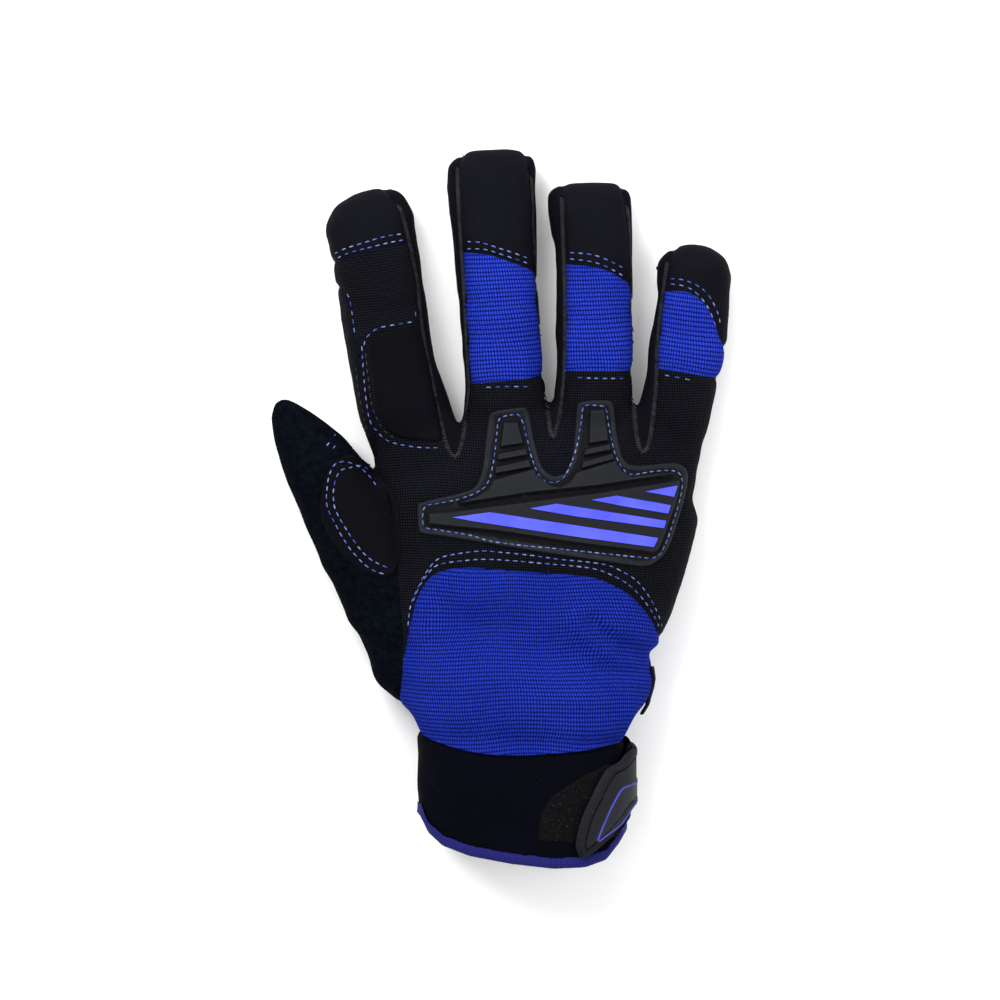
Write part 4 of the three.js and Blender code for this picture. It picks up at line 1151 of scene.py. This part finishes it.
def rubber_material(name, low, high):
    rough = 0.5
    material, net, surface = new_material(name, rough, Specular_IOR_Level=0.12)
    where = net.where()
    # Tone holds painted shade: the colour goes from low, the painted shade of grooves and channels, to high, the lit
    # colour of raised faces.
    painted_shade = net.add("ShaderNodeAttribute", attribute_name="Tone").outputs["Fac"]
    grain = net.group("Fine grain", Position=where, Scale=2600.0)
    lint_and_edges = net.group("Lint and sharp edges", Position=where, Amount=0.4)
    base = net.blend(painted_shade, solid(low), solid(high))
    # Lighter along the sharp convex edges.
    base = net.blend(net.math("MULTIPLY", lint_and_edges["Sharp edge"], 0.5), base, shade(high, 2.2))
    base = net.blend(lint_and_edges["Lint"], base, (0.08, 0.08, 0.09, 1))
    net.feed(surface.inputs["Roughness"], net.level(painted_shade, 0.0, 1.0, rough + 0.3, rough))
    net.dress(surface, base, grain["Height"], 0.02)
    return material


def loop_material():
    material, net, surface = new_material("Loop pile", 0.9, Specular_IOR_Level=0.1)
    where = net.where()
    grain = net.group("Fine grain", Position=where, Scale=1500.0)
    dots = net.level(grain["Height"], 0.40, 0.62, 1.0, 0.0)
    patches = net.level(net.noise(where, 130.0, 3.0), 0.35, 0.65, 0.2, 1.0)
    base = net.blend(net.math("MULTIPLY", dots, patches), (0.0002, 0.0002, 0.0006, 1), (0.026, 0.026, 0.031, 1))
    net.dress(surface, base, dots, 0.5)
    return material


def fleece_material():
    low, high = (0.0006, 0.0011, 0.0022), (0.0027, 0.0038, 0.0062)
    material, net, surface = new_material("Thumb fleece", 1.0, Specular_IOR_Level=0.01)
    where = net.where()
    grain = net.group("Fine grain", Position=where, Scale=900.0)
    lint_and_edges = net.group("Lint and sharp edges", Position=where, Amount=0.5)
    clumps = net.level(net.noise(where, 420.0, 4.0, 0.65), 0.3, 0.7)
    base = net.blend(clumps, solid(low), solid(high))
    base = net.blend(lint_and_edges["Lint"], base, (0.02, 0.025, 0.03, 1))
    pile = net.math("MULTIPLY_ADD", clumps, 1.2, grain["Height"])
    net.dress(surface, base, pile, 0.3)
    return material


def rib_material(name, low, high, spacing, distance):
    material, net, surface = new_material(name, 0.75, Specular_IOR_Level=0.1)
    cloth = net.add("ShaderNodeUVMap", uv_map="Cloth").outputs[0]
    where = net.where()
    apart = net.add("ShaderNodeSeparateXYZ")
    net.feed(apart.inputs[0], cloth)
    rib = net.wave(apart.outputs[0], math.pi / spacing)
    cross = net.wave(apart.outputs[1], math.pi / 0.9)
    height = net.math("MULTIPLY_ADD", cross, 0.3, rib)
    lint_and_edges = net.group("Lint and sharp edges", Position=where, Amount=0.2)
    # Painted shade in the grooves between the ribs and painted light on their crests: the colour goes from low to high
    # with the rib height.
    base = net.blend(net.level(height, 0.2, 1.2), solid(low), solid(high))
    base = net.blend(lint_and_edges["Lint"], base, shade(high, 2.0))
    net.dress(surface, base, height, distance)
    return material


def thread_material(name, low, high):
    material, net, surface = new_material(name, 0.5, Specular_IOR_Level=0.25)
    where = net.where()
    grain = net.group("Fine grain", Position=where, Scale=2600.0)
    lengthwise = net.level(net.noise(where, 520.0, 2.0), 0.38, 0.66)
    net.dress(surface, net.blend(lengthwise, solid(low), solid(high)), grain["Height"], 0.12)
    return material


materials = {}


def make_materials():
    s = settings()
    knit_group()
    grain_group()
    lint_and_edge_group()
    blue, thread, black = tuple(s.knit_blue), tuple(s.thread_blue), tuple(s.leather_black)
    # The dark copy of the blue is the knit's painted shade between its loops. The brightened copies, and the black
    # knit's high colour, are painted highlight on the loop tops.
    blue_painted_shade = (0.0, 0.12 * blue[1], 0.30 * blue[2])
    materials.update({
        "blue_knit": knit_material("Blue knit", blue_painted_shade, shade(blue, 1.45)[:3], 1.38, 0.88, 0.3),
        "blue_finger_knit": knit_material("Blue finger knit", blue_painted_shade, shade(blue, 2.0)[:3], 1.48, 0.98, 0.34),
        "black_knit": knit_material("Black knit", (0.0002, 0.0002, 0.0008), (0.0078, 0.0082, 0.0118), 0.92, 0.86,
                                    0.3, 0.03),
        "leather": grain_material("Synthetic leather", black, 0.78, 1500.0, 0.04, 0.3, 0.035),
        "patch": grain_material("Patch leather", shade(black, 0.6)[:3], 0.75, 1700.0, 0.03, 0.3, 0.03),
        "gusset": grain_material("Gusset jersey", shade(black, 0.8)[:3], 0.85, 1900.0, 0.1, 0.3, 0.03),
        "neoprene": grain_material("Neoprene", (0.0012, 0.0012, 0.0032), 0.85, 2300.0, 0.04, 0.3, 0.02),
        "fleece": fleece_material(),
        # The near black is the painted shade colour of the guard and the tab in their grooves.
        "rubber": rubber_material("Guard rubber", (0.0006, 0.0006, 0.0012), tuple(s.rubber_grey)),
        "violet": grain_material("Violet rubber", tuple(s.stripe_violet), 0.5, 2400.0, 0.02, 0.02, 0.1),
        "tab_line": grain_material("Dull violet rubber", (0.040, 0.043, 0.26), 0.6, 2400.0, 0.02, 0.02, 0.1),
        "binding": rib_material("Blue binding", (0.001, 0.001, 0.022), (0.015, 0.016, 0.150), 0.62, 0.2),
        "thread": thread_material("Blue thread", thread, (0.17, 0.21, 0.44)),
        "black_thread": thread_material("Black thread", (0.003, 0.003, 0.0045), (0.022, 0.023, 0.028)),
        "loop": loop_material(),
    })


# For each sewn panel its material, its slot and the axis that its knit runs along
PANELS = {
    "palm_leather": ("leather", "black_leather", None),
    "thumb_leather": ("leather", "black_leather", None),
    "thumb_fleece": ("fleece", "thumb_fleece", None),
    "back_knit": ("black_knit", "black_knit", "hand"),
    "wrist_knit": ("blue_knit", "blue_knit", "wrist"),
    "index_side_strip": ("leather", "black_leather", None),
    "index_tip": ("leather", "black_leather", None),
    "middle_tip": ("leather", "black_leather", None),
    "ring_tip": ("leather", "black_leather", None),
    "little_tip": ("leather", "black_leather", None),
    "middle_knit": ("blue_finger_knit", "blue_knit", "middle"),
    "ring_knit": ("blue_finger_knit", "blue_knit", "ring"),
    "little_knit": ("blue_finger_knit", "blue_knit", "little"),
    "fourchette_index_middle": ("gusset", "gusset_knit", None),
    "fourchette_middle_ring": ("gusset", "gusset_knit", None),
    "fourchette_ring_little": ("gusset", "gusset_knit", None),
    "cuff": ("neoprene", "neoprene", None),
}


class GLOVE_OT_skin(bpy.types.Operator):
    """Builds the sewn panels of the glove from one smooth surface cut along its seams"""
    bl_idname = "glove.skin"
    bl_label = "Sewn panels"

    def execute(self, context):
        s = settings()
        cuff = cuff_form(s.skin_cell)
        whole = bpy.data.meshes.new("cuff shape")
        cuff.to_mesh(whole)
        cuff_shape.append(surface_of(whole))
        bm = filled_form(s.skin_cell)
        smooth(bm, SKIN_SMOOTHING)
        swell(bm, 0.12 * MM)
        for vert in bm.verts:
            vert.co.z = max(vert.co.z, GROUND_GAP * MM)
        hand_faces = [f for f in bm.faces if f.calc_center_median().y > -0.075]
        parts = set(hand_faces)
        for face in hand_faces:
            parts.update(face.edges)
            parts.update(face.verts)
        bmesh.ops.bisect_plane(bm, geom=list(parts), dist=1e-7, plane_co=(0, 0, SIDE_SEAM * MM), plane_no=(0, 0, 1))
        for name, line in seam_lines().items():
            if name == "wrist":
                score(bm, line)
            elif name == "palm_thumb":
                score(bm, line, high=SIDE_SEAM)
            else:
                score(bm, line, low=SIDE_SEAM)
        hem, wrist = through(HEM_LINE, 2.5), seam_lines()["wrist"]
        keep_side(bm, below(wrist), False)
        tuck = wrist + np.array((0.0, TUCK_UNDER))
        score(cuff, hem)
        score(cuff, tuck)
        keep_side(cuff, below(hem), False)
        keep_side(cuff, below(tuck), True)
        names = list(PANELS)
        for face, panel in zip(bm.faces, face_panels(bm, names)):
            face.material_index = int(panel)
        shape_skin(bm)
        tuck_in(bm, wrist)
        for face in cuff.faces:
            face.material_index = names.index("cuff")
        shape_skin(cuff)
        sink(cuff, wrist)
        joined = bpy.data.meshes.new("cuff part")
        cuff.to_mesh(joined)
        bm.from_mesh(joined)
        bm.normal_update()
        whole = bpy.data.meshes.new("whole skin")
        bm.to_mesh(whole)
        surfaces.append(surface_of(whole))
        for number, name in enumerate(names):
            self.sew_panel(bm, number, name)
        bm.free()
        return {"FINISHED"}

    def sew_panel(self, bm, number, name):
        look, slot, axis = PANELS[name]
        cut = bm.copy()
        bmesh.ops.delete(cut, geom=[f for f in cut.faces if f.material_index != number], context="FACES")
        if not cut.faces:
            raise RuntimeError(f"panel {name} has no faces")
        for face in cut.faces:
            face.material_index = 0
        thickness = settings().cuff_wall if name == "cuff" else settings().skin_wall
        piece = walled(add_object(name + "_cloth", made_mesh(cut, name + "_cloth")), thickness)
        if axis:
            lay_cloth(piece.data, axis)
        finish_piece(piece, materials[look], (name,), 60)


class GLOVE_OT_binding(bpy.types.Operator):
    """Folds the blue binding over the edge of the cuff"""
    bl_idname = "glove.binding"
    bl_label = "Cuff binding"

    def execute(self, context):
        bm = opened(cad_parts["cuff_binding"].data)
        bmesh.ops.remove_doubles(bm, verts=bm.verts, dist=1e-6)
        mesh = remeshed(made_mesh(bm, "cuff_binding_cloth"), 0.55 * MM)
        bm = opened(mesh)
        smooth(bm, BINDING_SMOOTHING)
        swell(bm, 0.1 * MM)
        for vert in bm.verts:
            spot, normal, _, gap = cuff_shape[0].find_nearest(vert.co)
            most = float(np.interp(vert.co.y / MM, (-89.0, -85.0), (1.2, 0.35))) * MM
            if gap > most and (vert.co - spot).dot(normal) > 0:
                vert.co = spot + (vert.co - spot) * (most / gap)
            vert.co.y += 0.6 * MM
        bm.to_mesh(mesh)
        bm.free()
        co = coords(mesh) / MM
        away, along = distance_to(co[:, :2], through(HEM_LINE, 1.0))
        write_uv(mesh, np.stack([along, away], axis=1))
        piece = add_object("cuff_binding_cloth", mesh)
        finish_piece(piece, materials["binding"], ("cuff_binding",), 180)
        remember_surface(piece)
        return {"FINISHED"}


def edge_profile(outline, marks, rises):
    def height(points):
        far, _ = distance_to(points, outline, closed=True)
        return np.interp(far, marks, rises)
    return height


class GLOVE_OT_patches(bpy.types.Operator):
    """Lays the smooth patches on the index finger and on the thumb's crotch"""
    bl_idname = "glove.patches"
    bl_label = "Smooth patches"

    def execute(self, context):
        laid = []
        for name, points in (("index_patch", INDEX_PATCH), ("thumb_saddle_patch", SADDLE_PATCH)):
            outline = through(points, 0.8, closed=True)
            height = edge_profile(outline, (0, 0.25, 0.6, 1.1, 4.0), (0.1, 0.5, 0.85, 1.0, 1.15))
            piece = relief(name + "_cloth", outline, 0.9, height, lie_on_skin, (0.25, 0.35, 0.5), 1.0)
            finish_piece(piece, materials["patch"], (name,))
            laid.append(piece)
        for piece in laid:
            remember_surface(piece)
        return {"FINISHED"}


def face_slope(number):
    """Width of a face's sloped side: the first two are the large ones."""
    return 1.15 if number < 2 else 0.75


def face_rise(points, base):
    """Raises the flat faces of the guard out of its base with sloped sides."""
    rise = base.copy()
    for number, polygon in enumerate(GUARD_FACES):
        polygon = np.asarray(polygon)
        far, _ = distance_to(points, polygon, closed=True)
        far[inside(points, polygon)] = 0
        slope = face_slope(number)
        top = GUARD_TOP if number < 2 else GUARD_TOP - 0.15
        rise = np.maximum(rise, top - (top - 0.9) * np.clip(far / slope, 0, 1))
    return rise


def guard_height(points):
    """Height of the guard over the skin: a flange with a lip, a stitch channel, and raised flat faces."""
    far, _ = distance_to(points, through(GUARD_OUTLINE, 0.6, closed=True), closed=True)
    flange = np.interp(far, (0, 0.2, 0.5, 0.8, 1.1, 1.7, 2.0, 2.9, 3.3, 4.2),
                       (0.45, 0.95, 1.3, 1.35, 1.15, 1.1, 0.75, 0.72, 0.95, 1.35))
    return np.where(far > 2.9, face_rise(points, flange), flange)


# Painted shade for the guard, kept in its Tone attribute: darkest in the stitch channel and on the low body round the
# faces, lighter on the lip, and lighter the higher a face stands.
def guard_painted_shade(points, rises):
    far, _ = distance_to(points, through(GUARD_OUTLINE, 0.6, closed=True), closed=True)
    body = np.clip((rises - 2.2) / 1.0, 0.04, 1.0) * 0.42
    return np.where(far > 2.7, body, np.interp(far, (0, 0.5, 1.9, 2.1, 2.7), (0.25, 0.5, 0.42, 0.12, 0.05)))


def lie_under_guard(x, y):
    """A place on the skin, with a direction to rise in that leans little, so that the mould keeps its plan."""
    normal = smooth_normal(x, y, 3.0)
    return on_top(x, y)[0], Vector((0.25 * normal.x, 0.25 * normal.y, normal.z)).normalized()


class GLOVE_OT_guard(bpy.types.Operator):
    """Moulds the knuckle guard with its towers, grooves and inlaid stripes"""
    bl_idname = "glove.guard"
    bl_label = "Knuckle guard"

    def execute(self, context):
        outline = through(GUARD_OUTLINE, 0.6, closed=True)
        edges = []
        for number, polygon in enumerate(GUARD_FACES):
            ring = np.vstack([polygon, polygon[:1]])
            edges += [ring, offset_ring(polygon, face_slope(number))]
        edges += [offset_ring(through(GUARD_OUTLINE, 1.2, closed=True), gap) for gap in (-1.7, -2.0, -2.9)]
        guard = relief("knuckle_guard_mould", outline, 0.6, guard_height, lie_under_guard,
                       (0.2, 0.3, 0.3), 1.1, edges, guard_painted_shade)
        stripes = []
        for number, points in enumerate(GUARD_STRIPES):
            stripe = relief(f"guard_stripe_{number + 1}_inlay", np.asarray(points), 0.8,
                            lambda flat: np.full(len(flat), STRIPE_TOP), lie_under_guard, (), 0.5)
            stripes.append(stripe)
        finish_piece(guard, materials["rubber"], ("knuckle_guard",), 38)
        for number, stripe in enumerate(stripes):
            finish_piece(stripe, materials["violet"], (f"guard_stripe_{number + 1}",), 38)
        remember_surface(guard)
        return {"FINISHED"}


def tab_height(points):
    """Height of the moulded tab: a rounded rim, a groove and a raised face."""
    far, _ = distance_to(points, through(CLOSURE_TAB, 0.6, closed=True), closed=True)
    rise = np.interp(far, (0, 0.2, 0.5, 0.9, 1.9, 2.15, 2.55, 2.8), (2.9, 4.0, 4.5, 4.75, 4.7, 4.1, 4.1, 4.45))
    off, _ = distance_to(points, TAB_FACE, closed=True)
    face = np.where(inside(points, TAB_FACE), TAB_TOP, TAB_TOP - 0.25 * np.clip(off / 0.4, 0, 1))
    return np.where(far > 2.8, face, rise)


# Painted shade for the tab, kept in its Tone attribute: darkest in the groove inside the rim, a little lighter on the
# rim, and lightest on the raised face.
def tab_painted_shade(points, _):
    far, _ = distance_to(points, through(CLOSURE_TAB, 0.6, closed=True), closed=True)
    rim = np.interp(far, (0, 0.6, 1.85, 2.1, 2.6, 2.85), (0.12, 0.22, 0.18, 0.0, 0.0, 0.42))
    return np.where(inside(points, TAB_FACE), 0.75, rim)


class GLOVE_OT_closure(bpy.types.Operator):
    """Wraps the loop patch, the strap and the moulded tab round the side of the cuff"""
    bl_idname = "glove.closure"
    bl_label = "Wrist closure"

    def execute(self, context):
        outline = through(LOOP_PATCH, 0.8, closed=True)
        loop = relief("loop_patch_pile", outline, 0.8,
                      edge_profile(outline, (0, 0.3, 0.8), (0.2, 0.8, 1.0)), wrap_at(1.0), (0.3, 0.5), 0.8)
        strap_line = through(CLOSURE_STRAP, 0.8, closed=True)
        strap = relief("closure_strap_cloth", strap_line, 0.8,
                       edge_profile(strap_line, (0, 0.3, 0.7), (1.7, 2.3, 2.5)), wrap_at(2.4), (0.3, 0.4), 1.1)
        tab_edge = through(CLOSURE_TAB, 1.2, closed=True)
        tab_marks = [np.vstack([TAB_FACE, TAB_FACE[:1]]), offset_ring(TAB_FACE, 0.4)]
        tab_marks += [offset_ring(tab_edge, gap) for gap in (-1.9, -2.15, -2.55, -2.8)]
        tab = relief("closure_tab_mould", through(CLOSURE_TAB, 0.6, closed=True), 0.8, tab_height, wrap_at(TAB_LIFT),
                     (0.2, 0.3, 0.4), 1.9, tab_marks, tab_painted_shade)
        bands = []
        for number, (path, half) in enumerate(((TAB_LINE, 0.27), (TAB_LOWER_LINE, 0.22))):
            line = through(path, 0.8)
            band = np.vstack([offset_line(line, half), offset_line(line, -half)[::-1]])
            bands.append(relief(f"tab_line_{number + 1}_inlay", band, 1.0,
                                lambda flat: np.full(len(flat), TAB_LINE_TOP), wrap_at(TAB_LIFT), (), 0.5))
        for piece, look, slot, nodes in (
                (loop, "loop", "loop_pile", ("loop_patch",)),
                (strap, "neoprene", "neoprene", ("closure_strap",)),
                (tab, "rubber", "guard_rubber", ("closure_tab",)),
                (bands[0], "tab_line", "blue_rubber", ("tab_line",)),
                (bands[1], "tab_line", "blue_rubber", ())):
            finish_piece(piece, materials[look], nodes, 38)
        for piece in (loop, strap, tab):
            remember_surface(piece)
        return {"FINISHED"}


class GLOVE_OT_tag(bpy.types.Operator):
    """Sews the small tag into the side of the wrist"""
    bl_idname = "glove.tag"
    bl_label = "Side tag"

    def execute(self, context):
        bm = opened(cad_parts["side_tag"].data)
        bmesh.ops.remove_doubles(bm, verts=bm.verts, dist=1e-6)
        bmesh.ops.subdivide_edges(bm, edges=bm.edges, cuts=2, use_grid_fill=True)
        smooth(bm, 2, 0.3)
        for vert in bm.verts:
            vert.co.x += float(np.interp(vert.co.y / MM, (-52, -47, -42, -35), (-2.2, -1.6, -0.5, -0.3))) * MM
        piece = add_object("side_tag_cloth", made_mesh(bm, "side_tag_cloth"))
        finish_piece(piece, materials["leather"], ("side_tag",))
        return {"FINISHED"}


class GLOVE_OT_threads(bpy.types.Operator):
    """Sews the blue stitch rows and the black overlocked seams"""
    bl_idname = "glove.threads"
    bl_label = "Stitches"

    def execute(self, context):
        s = settings()
        rows = [through(row, 0.5) for row in THREAD_ROWS]
        guard = [through(GUARD_STITCHES, 0.5, closed=True)]
        sew("stitch_rows", rows, materials["thread"], s.stitch_length, s.stitch_gap,
            s.thread_width, lift=0.12 * MM)
        sew("guard_stitches", guard, materials["thread"], s.stitch_length, 0.7 * s.stitch_gap,
            1.05 * s.thread_width, lift=0.15 * MM)
        sew("faint_stitches", [through(row, 0.5) for row in FAINT_ROWS], materials["black_thread"],
            s.stitch_length, s.stitch_gap, s.thread_width, lift=0.1 * MM)
        seams = [through(line, 0.5)[30:-24] for line in GUSSET_SEAMS.values()]
        sew("overlock_seams", seams, materials["black_thread"], 2.3 * MM, -1.45 * MM,
            0.5 * MM, lift=0.2 * MM, skew=math.radians(52), steep=0.25)
        return {"FINISHED"}


class GLOVE_OT_stage(bpy.types.Operator):
    """Sets the pale floor, the soft lights and the camera"""
    bl_idname = "glove.stage"
    bl_label = "Stage"

    def execute(self, context):
        scene = context.scene
        bm = bmesh.new()
        bmesh.ops.create_grid(bm, x_segments=1, y_segments=1, size=3)
        floor = add_object("floor", made_mesh(bm, "floor"))
        material, _, surface = new_material("Pale floor", 0.9, Specular_IOR_Level=0.1)
        surface.inputs["Base Color"].default_value = (0.93, 0.93, 0.93, 1)
        floor.data.materials.append(material)
        world = bpy.data.worlds.new("Studio")
        world.use_nodes = True
        sky = world.node_tree.nodes["Background"]
        sky.inputs["Color"].default_value = (1, 1, 1, 1)
        sky.inputs["Strength"].default_value = 0.75
        scene.world = world
        scene.view_settings.view_transform = "Standard"
        for name, place, size, power in (("key", (-0.5, 0.6, 0.9), 0.6, 14.0), ("fill", (0.7, -0.2, 0.8), 0.8, 7.0),
                                         ("back", (0.1, 0.9, 0.5), 0.5, 4.0)):
            light = bpy.data.lights.new(name, "AREA")
            light.size, light.energy = size, power
            lamp = bpy.data.objects.new(name, light)
            lamp.location = place
            lamp.rotation_euler = (Vector((-0.01, 0.01, 0)) - Vector(place)).to_track_quat("-Z", "Y").to_euler()
            scene.collection.objects.link(lamp)
        camera = bpy.data.cameras.new("camera")
        camera.sensor_width = SENSOR_WIDTH
        camera.lens = SENSOR_WIDTH * CAMERA_DISTANCE / FRAME_WIDTH
        camera.clip_end = 20
        eye = bpy.data.objects.new("camera", camera)
        eye.location = (*CAMERA_PLAN, CAMERA_DISTANCE + SUBJECT_HEIGHT)
        scene.collection.objects.link(eye)
        scene.camera = eye
        return {"FINISHED"}


class GLOVE_PT_panel(bpy.types.Panel):
    """Lists the glove's pieces, sizes and colours"""
    bl_idname = "GLOVE_PT_panel"
    bl_label = "Mechanic glove"
    bl_space_type = "VIEW_3D"
    bl_region_type = "UI"
    bl_category = "Glove"

    def draw(self, context):
        for name in GloveSettings.__annotations__:
            self.layout.prop(context.scene.glove, name)
        for operator in OPERATORS:
            self.layout.operator(operator.bl_idname)


OPERATORS = (GLOVE_OT_stage, GLOVE_OT_skin, GLOVE_OT_binding, GLOVE_OT_patches, GLOVE_OT_guard, GLOVE_OT_closure,
             GLOVE_OT_tag, GLOVE_OT_threads)
CLASSES = (GloveSettings, *OPERATORS, GLOVE_PT_panel)


def register():
    for cls in CLASSES:
        bpy.utils.register_class(cls)
    bpy.types.Scene.glove = PointerProperty(type=GloveSettings)


def unregister():
    del bpy.types.Scene.glove
    for cls in reversed(CLASSES):
        bpy.utils.unregister_class(cls)


def main():
    register()
    make_materials()
    for operator in OPERATORS:
        group, name = operator.bl_idname.split(".")
        getattr(getattr(bpy.ops, group), name)()


if __name__ == "__main__":
    main()
